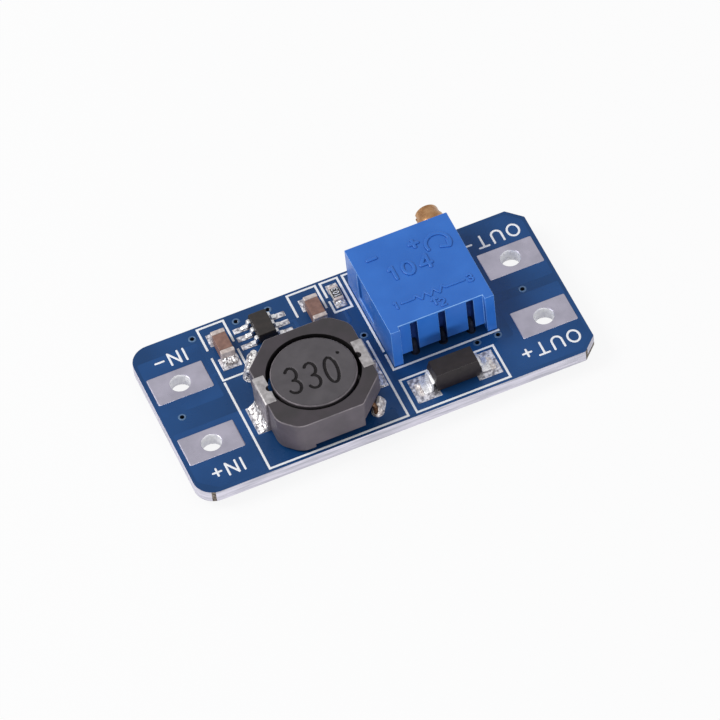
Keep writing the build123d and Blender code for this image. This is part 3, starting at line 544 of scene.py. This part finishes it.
def closed_rings(shape, rings):
    """Join rings of points, each to the next and the last to the first."""
    made = [[shape.verts.new(point) for point in ring] for ring in rings]
    for a, b in zip(made, made[1:] + made[:1]):
        for i in range(len(a)):
            j = (i + 1) % len(a)
            shape.faces.new((a[i], a[j], b[j], b[i]))


def terminal_shape(x, y):
    """A pad on both faces of the board and the plating between them."""
    outline = pad_outline(*pad_size)
    under_profile = [(s, top - z) for s, z in pad_profile]
    sides = pad_profile + [(0.02, 1.2), (0.02, 0.0)] + list(reversed(under_profile))
    rings = []
    for share, height in sides:
        ring = []
        for point in outline:
            spot = (point.normalized() * hole_radius).lerp(point, share)
            ring.append((x + spot.x, y + spot.y, height))
        rings.append(ring)
    shape = bmesh.new()
    closed_rings(shape, rings)
    return shape


terminal_places = {
    "input_minus_terminal": (-15.075, 3.5),
    "input_plus_terminal": (-15.075, -3.5),
    "output_minus_terminal": (15.075, 3.5),
    "output_plus_terminal": (15.075, -3.5),
}
for node, place in terminal_places.items():
    pad = terminal_shape(*place)
    # Faces round the hole take the almost white tin, a painted reflection.
    for face in pad.faces:
        reach = (face.calc_center_median().xy - Vector(place)).length
        face.material_index = 1 if reach < hole_radius + 0.01 else 0
    make_piece(f"{node}_tinned", pad, [tinned, hole_tin_painted_reflection], stands_for=[node])

# %% [markdown]
# ### Vias
# A via is a tiny plated hole that carries current from one face to the other. The mask runs
# over its ring and stops at the hole. Its plated bore is painted near black as painted shade,
# so it shows as a dark dot in a low blue ring.

# %% Via eyelets
via_places = [
    (-16.25, 0.1), (14.65, 0.0), (-12.405, 7.45), (-8.38, 7.55), (-5.48, 7.55), (10.845, -3.58),
    (8.945, -3.58), (0.745, 1.37),
]
via_mask = finish_of("mask over a via", tone(70, 104, 146), tone(94, 128, 166), 0.5, (0.3, 0.4), (0.1, 0.004))
bore_edge = 0.195
via_bore_painted_shade = finish_of("bore of a via, painted shade", tone(12, 20, 34), tone(22, 32, 50), 0.2, (0.5, 0.7), (0.1, 0.004))


def spun(shape, centre, profile, steps, closed=False):
    """Turn a profile of (radius, height) points round an upright line at the centre."""
    angles = [2 * math.pi * k / steps for k in range(steps)]
    rings = [
        [(centre[0] + r * math.cos(a), centre[1] + r * math.sin(a), z) for a in angles] for r, z in profile
    ]
    if closed:
        closed_rings(shape, rings)
        return
    made = [[shape.verts.new(point) for point in ring] for ring in rings]
    for a, b in zip(made, made[1:]):
        for i in range(steps):
            j = (i + 1) % steps
            shape.faces.new((a[i], a[j], b[j], b[i]))
    shape.faces.new(made[0])
    shape.faces.new(made[-1])


eyelets = bmesh.new()
via_top = [(0.19, 1.2), (0.2, 1.222), (0.24, 1.232), (0.31, 1.228), (0.36, 1.2)]
via_profile = via_top + [(0.25, 1.15), (0.25, 0.05)] + [(r, top - z) for r, z in reversed(via_top)]
for place in via_places:
    spun(eyelets, place, via_profile, 28, closed=True)
# Faces inside the bore take the near-black finish: painted shade in the hole.
for face in eyelets.faces:
    reach = min((face.calc_center_median().xy - Vector(place)).length for place in via_places)
    face.material_index = 1 if reach < bore_edge else 0
make_piece("via_eyelets", eyelets, [via_mask, via_bore_painted_shade], stands_for=["vias"])

# %% [markdown]
# ## Soldered pads and white print
# The pads under the parts were printed with solder paste and melted, which leaves a frosted,
# patchy metal. Under the trimmer the pads, the solder and its pins are painted nearly black,
# as painted shade. The white outlines are a thick ink, screened on after the mask.

# %% Frosted solder and ink
frosted = finish_of(
    "frosted solder", tone(140, 138, 148), tone(244, 242, 247), 0.3, (0.35, 0.55), (0.3, 0.03), metallic=0.6,
    span=(0.38, 0.6)
)
ink = finish_of(
    "white ink", tone(246, 248, 252), tone(254, 254, 255), 0.4, (0.4, 0.55), (0.12, 0.003), specular=0.6
)
# Nearly black tin: painted shade on the trimmer's pins and on the pads and solder under it.
tin_in_painted_shade = finish_of(
    "tin, painted shade", tone(18, 22, 38), tone(36, 42, 60), 0.4, (0.6, 0.75), (0.2, 0.006), specular=0.15
)


housing_low, housing_high = [
    [value / millimetre for value in corner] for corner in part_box("trimmer_housing")
]


def under_trimmer(face):
    """True for a face that lies inside the outline of the trimmer's housing."""
    middle = face.calc_center_median()
    return all(housing_low[i] < middle[i] < housing_high[i] for i in (0, 1))


pads = cad_copy("component_pads")
soften(pads, 0.03)
# Pads under the trimmer take the nearly black tin, painted shade.
for face in pads.faces:
    face.material_index = 1 if under_trimmer(face) else 0
make_piece("soldered_pads", pads, [frosted, tin_in_painted_shade], stands_for=["component_pads"])
outlines = cad_copy("printed_outlines")
soften(outlines, 0.012, steps=1)
make_piece("white_outlines", outlines, [ink], stands_for=["printed_outlines"])

# %% [markdown]
# ### Lettering
# The terminals say which is input and which is output, with their signs, and the parts carry
# plain value numbers. The letters are drawn with strokes in a unit square, as a plotter would.

# %% Letters as strokes
def arc(cx, cy, rx, ry, start, end, steps=14):
    """Points on part of an ellipse, between two angles in degrees."""
    angles = [math.radians(start + (end - start) * k / steps) for k in range(steps + 1)]
    return [(cx + rx * math.cos(a), cy + ry * math.sin(a)) for a in angles]


glyphs = {
    "0": (0.6, [arc(0.3, 0.5, 0.3, 0.5, 90, 450, 28)]),
    "1": (0.4, [[(0.05, 0.78), (0.25, 1.0), (0.25, 0.0)]]),
    "2": (0.6, [arc(0.3, 0.72, 0.29, 0.28, 165, -35) + [(0.0, 0.0), (0.6, 0.0)]]),
    "3": (0.6, [arc(0.29, 0.75, 0.27, 0.25, 150, -90) + arc(0.29, 0.25, 0.31, 0.25, 90, -150)]),
    "4": (0.65, [[(0.48, 0.0), (0.48, 1.0), (0.0, 0.3), (0.65, 0.3)]]),
    "I": (0.0, [[(0.0, 0.0), (0.0, 1.0)]]),
    "N": (0.72, [[(0.0, 0.0), (0.0, 1.0), (0.72, 0.0), (0.72, 1.0)]]),
    "O": (0.86, [arc(0.43, 0.5, 0.43, 0.5, 90, 450, 32)]),
    "U": (0.74, [[(0.0, 1.0), (0.0, 0.37)] + arc(0.37, 0.37, 0.37, 0.37, 180, 360) + [(0.74, 1.0)]]),
    "T": (0.74, [[(0.0, 1.0), (0.74, 1.0)], [(0.37, 1.0), (0.37, 0.0)]]),
    "+": (0.62, [[(0.0, 0.45), (0.62, 0.45)], [(0.31, 0.14), (0.31, 0.76)]]),
    "-": (0.62, [[(0.0, 0.45), (0.62, 0.45)]]),
}


def word_lines(word, middle, height, gap, heading=0.0, wide=1.0):
    """The strokes of a word centred on a point, turned by the heading in degrees."""
    lines = []
    pen = 0.0
    for letter in word:
        width, strokes = glyphs[letter]
        lines += [[((pen + x * wide), y) for x, y in line] for line in strokes]
        pen += width * wide + gap
    length = pen - gap
    turned = math.radians(heading)
    placed = []
    for line in lines:
        run = []
        for x, y in line:
            u = (x - length / 2) * height
            v = (y - 0.5) * height
            run.append((
                middle[0] + u * math.cos(turned) - v * math.sin(turned),
                middle[1] + u * math.sin(turned) + v * math.cos(turned),
            ))
        placed.append(run)
    return placed


labels = bmesh.new()
for word, middle in {
    "IN-": (-14.86, 6.24), "IN+": (-14.84, -6.64), "OUT-": (14.49, 6.25), "OUT+": (14.43, -6.54),
}.items():
    for line in word_lines(word, middle, 1.25, 0.42, heading=180, wide=0.95):
        stroke(labels, line, 0.2, top + 0.004, 0.045)
make_piece("terminal_labels", labels, [ink])

# %% [markdown]
# ## Inductor
# A ferrite drum wound with enamelled wire sits in an eight-sided ferrite ring. Ferrite is a
# pressed and fired ceramic: dark, matte, with fine pits. The ring keeps the CAD shape with
# softened edges, its foot is shorter at the front right corner, where a wire comes out, and
# tinned clips fold over it.

# %% Ferrite ring and clips
ferrite = finish_of(
    "fired ferrite", tone(74, 70, 74), tone(84, 80, 84), 1.3, (0.42, 0.56), (0.08, 0.005), specular=0.45
)
# The ring's darker top and lighter sides are painted shade and painted light.
ferrite_top_painted_shade = finish_of(
    "ferrite top, painted shade", tone(52, 48, 51), tone(63, 56, 62), 1.8, (0.38, 0.52), (0.08, 0.005), specular=0.45
)
ferrite_sides_painted_light = finish_of(
    "ferrite sides, painted light", tone(79, 73, 80), tone(91, 84, 92), 1.8, (0.42, 0.56), (0.08, 0.005), specular=0.45
)
dark_ferrite = finish_of(
    "ferrite in shade", tone(22, 20, 21), tone(34, 31, 33), 0.3, (0.6, 0.75), (0.06, 0.004), specular=0.2
)
# A lighter ferrite on the ring's outer top edges and the drum's rim: a painted highlight.
ferrite_edge_painted_highlight = finish_of(
    "ferrite edge, painted highlight", tone(104, 98, 103), tone(134, 126, 131), 0.7, (0.4, 0.5), (0.08, 0.005), specular=0.5
)
pocket_floor = 4.5
ring_centre = Vector((-5.33, -2.975))
bore_reach = 4.1
ring = cad_copy("inductor_shield")
foot_height = 0.36
foot_corner = Vector((2.0, -2.0))
ring_foot = min(vertex.co.z for vertex in ring.verts)
for vertex in ring.verts:
    out = vertex.co.xy - ring_centre
    if vertex.co.z < ring_foot + 0.05 and out.x > foot_corner.x and out.y < foot_corner.y:
        vertex.co.z += foot_height
soften(ring, 0.09)
# Top faces take the darker ferrite and upright faces the lighter one: painted shade and painted light.
for face in ring.faces:
    face.material_index = 0 if face.normal.z > level else 1
    middle = face.calc_center_median()
    out = (middle.xy - ring_centre).length
    in_bore = out < bore_reach and abs(face.normal.z) < 0.5
    if in_bore or (face.normal.z > level and abs(middle.z - pocket_floor) < 0.05):
        face.material_index = 2
    elif 0.3 < face.normal.z < level and out > bore_reach + 0.2:
        face.material_index = 3
make_piece("ferrite_ring", ring, [ferrite_top_painted_shade, ferrite_sides_painted_light, dark_ferrite, ferrite_edge_painted_highlight],
           stands_for=["inductor_shield"])
clip_metal = finish_of(
    "tinned strip", tone(154, 150, 151), tone(190, 186, 187), 0.4, (0.3, 0.5), (0.35, 0.015), metallic=0.5
)
clip_side_painted_shade = finish_of(
    "side of the strip, painted shade", tone(128, 121, 125), tone(166, 158, 162), 0.4, (0.35, 0.55), (0.35, 0.015),
    metallic=0.5
)
for side in ("left", "right"):
    clip = cad_copy(f"inductor_{side}_clip")
    soften(clip, 0.035)
    # Upright faces of the clip take the darker tin: painted shade.
    for face in clip.faces:
        face.material_index = 0 if face.normal.z > 0.5 else 1
    make_piece(f"{side}_clip", clip, [clip_metal, clip_side_painted_shade],
               stands_for=[f"inductor_{side}_clip"])

# %% [markdown]
# ### Drum
# The drum's round top carries its value, pressed into the ferrite. A fine polar grid makes the
# face, and each point sinks by its distance to the number's strokes, so the grooves are real
# shape with soft shoulders. The rest of the drum is the same grid carried round to the bottom.

# %% Drum with a pressed number
drum_top = 4.65
drum_radius = 3.66
post_radius = 1.6
flange = 0.7
drum_bottom = 1.45
groove_width = 0.27
groove_depth = 0.12
number_lines = word_lines("330", (-5.55, -3.25), 2.7, 0.24, heading=-6, wide=0.63)
number_lines.append(arc(-2.75, -1.95, 0.02, 0.02, 0, 360, 6))


def to_segment(point, a, b):
    """How far a point lies from a straight segment."""
    run = b - a
    share = max(0.0, min(1.0, (point - a).dot(run) / max(run.length_squared, 1e-9)))
    return (point - a - run * share).length


segments = [
    (Vector(a), Vector(b)) for line in number_lines for a, b in zip(line, line[1:])
]


def groove(x, y):
    """How deep the pressed number is at a point of the face."""
    point = Vector((x, y))
    near = min(to_segment(point, a, b) for a, b in segments)
    share = max(0.0, min(1.0, (groove_width / 2 + 0.03 - near) / 0.08))
    return groove_depth * share * share * (3 - 2 * share)


drum = bmesh.new()
around = 300
face_rings = 86
edge = 0.12
flat_share = 0.97
number_share = 0.96
profile = [(drum_radius * flat_share * k / face_rings, drum_top) for k in range(face_rings, 0, -1)]
rim = [
    (drum_radius - edge + edge * math.sin(math.radians(a)),
     drum_top - edge + edge * math.cos(math.radians(a)))
    for a in (0, 30, 60, 90)
]
outer = [
    (drum_radius, drum_top - flange + 0.05), (drum_radius - 0.05, drum_top - flange),
    (post_radius + 0.05, drum_top - flange), (post_radius, drum_top - flange - 0.05),
    (post_radius, drum_bottom + flange + 0.05), (post_radius + 0.05, drum_bottom + flange),
    (drum_radius - 0.05, drum_bottom + flange), (drum_radius, drum_bottom + flange - 0.05),
    (drum_radius, drum_bottom + 0.05), (drum_radius - 0.05, drum_bottom),
]
spun(drum, ring_centre, list(reversed(profile)) + rim + outer, around)
for vertex in drum.verts:
    if vertex.co.z > drum_top - 0.001:
        vertex.co.z -= groove(vertex.co.x, vertex.co.y)
# The drum's rim takes the lighter ferrite, a painted highlight.
for face in drum.faces:
    depth = drum_top - face.calc_center_median().z
    reach = (face.calc_center_median().xy - ring_centre).length
    if groove_depth * 0.4 < depth < groove_depth * 1.1 and reach < drum_radius * number_share:
        face.material_index = 1
    elif depth < edge and reach > drum_radius - edge:
        face.material_index = 2
make_piece("ferrite_drum", drum, [ferrite, dark_ferrite, ferrite_edge_painted_highlight],
           stands_for=["inductor_core"], even=False)

# %% [markdown]
# ### Solder and wire ends
# Molten solder pulls itself into smooth hollow shapes. The CAD wedges show where it is; a
# voxel skin melts them together, and smoothing rounds them as surface tension would.

# %% Melted solder
solder_metal = finish_of(
    "bright solder", tone(140, 134, 136), tone(254, 251, 250), 0.22, (0.24, 0.4), (0.25, 0.03), metallic=0.7,
    span=(0.4, 0.52)
)


def melted(shape, voxel, rounds):
    """A shape skinned with small voxels and smoothed."""
    mesh = bpy.data.meshes.new("lump")
    shape.to_mesh(mesh)
    shape.free()
    lump = bpy.data.objects.new("lump", mesh)
    bpy.context.scene.collection.objects.link(lump)
    skin = lump.modifiers.new("skin", "REMESH")
    skin.mode = "VOXEL"
    skin.voxel_size = voxel
    settle = lump.modifiers.new("settle", "SMOOTH")
    settle.factor = 0.5
    settle.iterations = rounds
    graph = bpy.context.evaluated_depsgraph_get()
    result_mesh = bpy.data.meshes.new_from_object(lump.evaluated_get(graph))
    result = bmesh.new()
    result.from_mesh(result_mesh)
    bpy.data.objects.remove(lump)
    bpy.data.meshes.remove(mesh)
    bpy.data.meshes.remove(result_mesh)
    return result


def ripple(shape, size, depth):
    """Push each point along its normal by a slow noise."""
    shape.normal_update()
    for vertex in shape.verts:
        vertex.co += vertex.normal * depth * noise.noise(vertex.co / size)


solder = melted(cad_copy("solder_top"), 0.04, 6)
ripple(solder, 0.24, 0.07)
# A lighter, pinkish solder at the front right wire end: solder's own colour with a painted highlight.
wire_solder_painted_highlight = finish_of(
    "solder on a wire, painted highlight", tone(206, 194, 190), tone(254, 248, 244), 0.3, (0.3, 0.45), (0.25, 0.02), metallic=0.4
)
wire_from_x = ring_centre.x + 2.5
wire_from_y = -5.5
# Solder under the trimmer takes the nearly black tin, painted shade.
for face in solder.faces:
    middle = face.calc_center_median()
    at_wire = middle.x > wire_from_x and middle.y < wire_from_y and not under_trimmer(face)
    face.material_index = 1 if under_trimmer(face) else 2 if at_wire else 0
make_piece("solder_fillets", solder, [solder_metal, tin_in_painted_shade, wire_solder_painted_highlight],
           stands_for=["solder_top"], even=False)
enamel = finish_of(
    "wire enamel", tone(70, 46, 28), tone(112, 74, 42), 0.4, (0.25, 0.4), (0.2, 0.005), metallic=0.4
)
wires = cad_copy("inductor_wire_ends")
for face in wires.faces:
    face.material_index = 1 if face.calc_center_median().x < ring_centre.x else 0
make_piece("wire_ends", wires, [enamel, solder_metal], stands_for=["inductor_wire_ends"],
           even=False)

# %% [markdown]
# ## Capacitors and resistor
# The capacitors are fired ceramic blocks, pinkish brown, with silver caps dipped on at both
# ends, so the caps stand a hair proud and are round at their edges. The resistor is a white
# ceramic chip with a black glaze that carries its value in plain digits.

# %% Capacitors
cap_ceramic = finish_of(
    "capacitor ceramic", tone(128, 96, 86), tone(150, 114, 102), 0.5, (0.4, 0.55), (0.1, 0.004), specular=0.4
)
cap_metal = finish_of(
    "dipped cap", tone(188, 174, 169), tone(226, 213, 208), 0.4, (0.35, 0.5), (0.2, 0.01), metallic=0.35
)
for which in ("input", "output"):
    block = cad_copy(f"{which}_capacitor_body")
    soften(block, 0.06)
    make_piece(f"{which}_capacitor_ceramic", block, [cap_ceramic],
               stands_for=[f"{which}_capacitor_body"])
    caps = cad_copy(f"{which}_capacitor_ends")
    soften(caps, 0.09, steps=3)
    make_piece(f"{which}_capacitor_caps", caps, [cap_metal],
               stands_for=[f"{which}_capacitor_ends"])

# %% Resistor
white_ceramic = finish_of(
    "white ceramic", tone(205, 204, 200), tone(232, 231, 228), 0.3, (0.5, 0.7), (0.08, 0.004), specular=0.4
)
glaze = finish_of(
    "black glaze", tone(20, 20, 22), tone(34, 33, 36), 0.5, (0.12, 0.3), (0.25, 0.004), coat=0.4
)
chip_block = cad_copy("resistor_body")
soften(chip_block, 0.02)
make_piece("resistor_ceramic", chip_block, [white_ceramic], stands_for=["resistor_body"])
film = cad_copy("resistor_film")
soften(film, 0.02)
make_piece("resistor_glaze", film, [glaze], stands_for=["resistor_film"])
end_caps = cad_copy("resistor_ends")
soften(end_caps, 0.05)
make_piece("resistor_caps", end_caps, [cap_metal], stands_for=["resistor_ends"])
digits = bmesh.new()
film_low, film_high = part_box("resistor_film")
film_top = film_high[2] / millimetre
film_middle = [(a + b) / 2 / millimetre for a, b in zip(film_low, film_high)]
for line in word_lines("103", film_middle[:2], 0.5, 0.3, heading=90, wide=0.75):
    stroke(digits, line, 0.07, film_top - 0.002, 0.012)
make_piece("resistor_digits", digits, [ink])

# %% [markdown]
# ## Control chip and diode
# Both are moulded in black epoxy, matte from the tool and slightly tapered so that they leave
# it. Their leads are tinned strips, much brighter than the body.

# %% Control chip
epoxy = finish_of(
    "black epoxy", tone(42, 38, 37), tone(52, 46, 44), 0.5, (0.4, 0.55), (0.05, 0.004), specular=0.35
)
lead_metal = finish_of(
    "tinned lead", tone(224, 223, 226), tone(254, 254, 255), 0.3, (0.22, 0.4), (0.25, 0.008), metallic=0.5
)
body = cad_copy("chip_body")
soften(body, 0.05)
make_piece("chip_moulding", body, [epoxy], stands_for=["chip_body"])
leads = cad_copy("chip_leads")
soften(leads, 0.025)
make_piece("chip_tinned_leads", leads, [lead_metal], stands_for=["chip_leads"])

# %% Diode
brown_epoxy = finish_of(
    "brown epoxy", tone(32, 27, 29), tone(40, 34, 36), 0.6, (0.4, 0.52), (0.05, 0.004), specular=0.3
)
# A lighter epoxy on the bevel between top and front: a painted highlight.
epoxy_edge_painted_highlight = finish_of(
    "edge of the epoxy, painted highlight", tone(118, 112, 114), tone(148, 142, 144), 0.3, (0.3, 0.45), (0.05, 0.004),
    specular=0.5
)
diode = cad_copy("diode_body")
soften(diode, 0.12, steps=3)
for face in diode.faces:
    face.material_index = 1 if 0.35 < face.normal.z < 0.93 and face.normal.y < -0.2 else 0
make_piece("diode_moulding", diode, [brown_epoxy, epoxy_edge_painted_highlight], stands_for=["diode_body"])
for side in ("left", "right"):
    lead = cad_copy(f"diode_{side}_lead")
    soften(lead, 0.04)
    make_piece(f"diode_{side}_strip", lead, [lead_metal], stands_for=[f"diode_{side}_lead"])

# %% [markdown]
# ## Trimmer
# The trimmer's housing is a glossy moulding in strong blue, open at the front where its pins
# run down three grooves, whose walls are painted dark blue as painted shade. Its edges are
# rounded by the mould, and a paler blue on them is a painted highlight. The CAD height takes
# in the marks on the lid, so the lid itself lies lower by their rise.

# %% Housing
trimmer_blue = finish_of(
    "moulded blue", tone(45, 109, 200), tone(52, 117, 209), 3.0, (0.28, 0.4), (0.12, 0.003), specular=0.4
)
# A paler blue on the rounded edges: a painted highlight.
blue_edge_painted_highlight = finish_of(
    "edge of the moulding, painted highlight", tone(116, 170, 240), tone(144, 194, 250), 0.6, (0.2, 0.3), (0.12, 0.003),
    specular=0.6
)
shaded_blue = finish_of(
    "blue in a groove", tone(14, 40, 98), tone(22, 52, 116), 0.6, (0.5, 0.6), (0.12, 0.003), specular=0.2
)
mark_rise = 0.12
housing = cad_copy("trimmer_housing")
lid = housing_high[2] - mark_rise
for vertex in housing.verts:
    vertex.co.z = min(vertex.co.z, lid)


block_step = 0.45
groove_deep = 0.7
block_front = housing_low[1] + block_step
groove_back = block_front + groove_deep
pin_row = (3.95, 6.49, 9.03)
groove_reach = 0.33


def on_outside(edge):
    """True for edges that touch the housing's outer faces or the front of its blocks."""
    for vertex in edge.verts:
        x, y, z = vertex.co
        if min(abs(x - housing_low[0]), abs(x - housing_high[0]), abs(y - housing_low[1]),
               abs(y - housing_high[1]), abs(y - block_front), abs(z - lid)) < 0.02:
            return True
    return False


soften(housing, 0.12, steps=3, wanted=on_outside)
# Bevel faces take the paler blue, a painted highlight; groove faces the dark blue, painted shade.
for face in housing.faces:
    middle = face.calc_center_median()
    in_groove = (min(abs(middle.x - x) for x in pin_row) < groove_reach
                 and block_front + 0.08 < middle.y < groove_back + 0.05)
    if in_groove:
        face.material_index = 2
    else:
        face.material_index = 0 if max(abs(part) for part in face.normal) > 0.96 else 1
make_piece("trimmer_moulding", housing, [trimmer_blue, blue_edge_painted_highlight, shaded_blue],
           stands_for=["trimmer_housing"])

# %% [markdown]
# ### Raised marks
# Marks on a moulded part are cut into the tool, so they stand proud in the same plastic: a
# resistor's zigzag with its moving contact and three pin numbers, a value and a turning arrow.
# Their steep sides are painted a darker blue, as painted shade.

# %% Marks on the lid
marks = bmesh.new()
zigzag = [(3.8, -0.35), (4.9, -0.35)]
for k in range(7):
    zigzag.append((5.15 + 0.4 * k, -0.35 + (0.32 if k % 2 == 0 else -0.32)))
zigzag += [(7.8, -0.35), (9.5, -0.35)]
small_marks = [zigzag, [(6.4, -1.75), (6.4, -0.9)], [(6.15, -1.2), (6.4, -0.85), (6.65, -1.2)]]
for word, middle in {"1": (3.3, -0.35), "2": (6.95, -1.7), "3": (10.0, -0.35)}.items():
    small_marks += word_lines(word, middle, 0.75, 0.3)
big_marks = word_lines("104", (6.0, 2.95), 1.4, 0.42, wide=1.1)
big_marks += word_lines("-", (3.4, 5.2), 1.3, 0.3) + word_lines("+", (7.2, 5.2), 1.3, 0.3)
big_marks += [arc(9.1, 4.3, 1.05, 1.05, 200, -40, 20), [(9.95, 4.35), (9.9, 3.62), (9.2, 3.85)]]
for line in small_marks:
    stroke(marks, line, 0.2, lid - 0.02, 0.02 + mark_rise * 0.8, squareness=0.3)
for line in big_marks:
    stroke(marks, line, 0.32, lid - 0.02, 0.02 + mark_rise, squareness=0.3)
marks.normal_update()
# Steep sides of the marks take a darker blue: painted shade.
for face in marks.faces:
    face.material_index = 1 if abs(face.normal.z) < 0.75 else 0
mark_shoulder_painted_shade = finish_of(
    "shoulder of a mark, painted shade", tone(34, 84, 166), tone(42, 94, 178), 0.6, (0.35, 0.5), (0.12, 0.003),
    specular=0.3
)
make_piece("raised_marks", marks, [trimmer_blue, mark_shoulder_painted_shade])

# %% [markdown]
# ### Screw and pins
# The adjusting screw is turned from brass, so fine rings run round it. It rides on its own
# body, because it is the one part that a screwdriver moves.

# %% Brass screw and pins
turned_brass = finish_of(
    "turned brass", tone(158, 114, 76), tone(190, 146, 104), 0.6, (0.2, 0.32), (0.2, 0.004), metallic=0.85
)
relief(turned_brass, grain(turned_brass, 0.05, stretch=(0.02, 1.0, 0.02)), 0.006)
screw = cad_copy("trimmer_screw")
soften(screw, 0.03, angle=50)
make_piece("brass_screw", screw, [turned_brass], body="screw", stands_for=["trimmer_screw"])
pins = cad_copy("trimmer_pins")
# The pins are painted nearly black, as painted shade in their grooves.
make_piece("tinned_pins", pins, [tin_in_painted_shade], stands_for=["trimmer_pins"], even=False)
cones = cad_copy("solder_bottom")
seen_above = top - 0.1
# Faces of the cones near the board's top take the nearly black tin, painted shade.
for face in cones.faces:
    face.material_index = 1 if face.calc_center_median().z > seen_above else 0
make_piece("pin_solder", cones, [solder_metal, tin_in_painted_shade], stands_for=["solder_bottom"],
           even=False)

# %% [markdown]
# ## Hidden nodes
# What is inside the mouldings keeps its CAD shape and takes the finish of its own material, so
# that it is right when the model is opened.

# %% Inner parts
potting = finish_of("blue resin", tone(40, 78, 140), tone(52, 92, 158), 1.0, (0.3, 0.5), (0.3, 0.01))
track_ink = finish_of("resistive ink", tone(40, 38, 38), tone(60, 57, 56), 0.3, (0.5, 0.7), (0.06, 0.004))
nylon = finish_of("natural nylon", tone(214, 208, 190), tone(232, 227, 212), 1.0, (0.4, 0.55), (0.3, 0.004))
rubber = finish_of("black rubber", tone(28, 28, 28), tone(44, 44, 44), 0.4, (0.6, 0.8), (0.1, 0.006))
silicon = finish_of(
    "polished silicon", tone(90, 92, 102), tone(120, 122, 134), 0.4, (0.1, 0.2), (0.2, 0.001)
)
spring_brass = finish_of(
    "spring brass", tone(190, 140, 80), tone(214, 166, 104), 0.5, (0.2, 0.35), (0.2, 0.003), metallic=1.0
)
inner = {
    "trimmer_floor": potting, "trimmer_ceramic": white_ceramic, "trimmer_track": track_ink,
    "trimmer_wheel": nylon, "trimmer_seal": rubber, "trimmer_wiper": spring_brass, "chip_die": silicon,
    "diode_die": silicon, "inductor_winding": enamel,
}
for node, finish in inner.items():
    for material_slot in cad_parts[node].material_slots:
        material_slot.material = finish
print(f"{len(inner)} inner nodes finished")
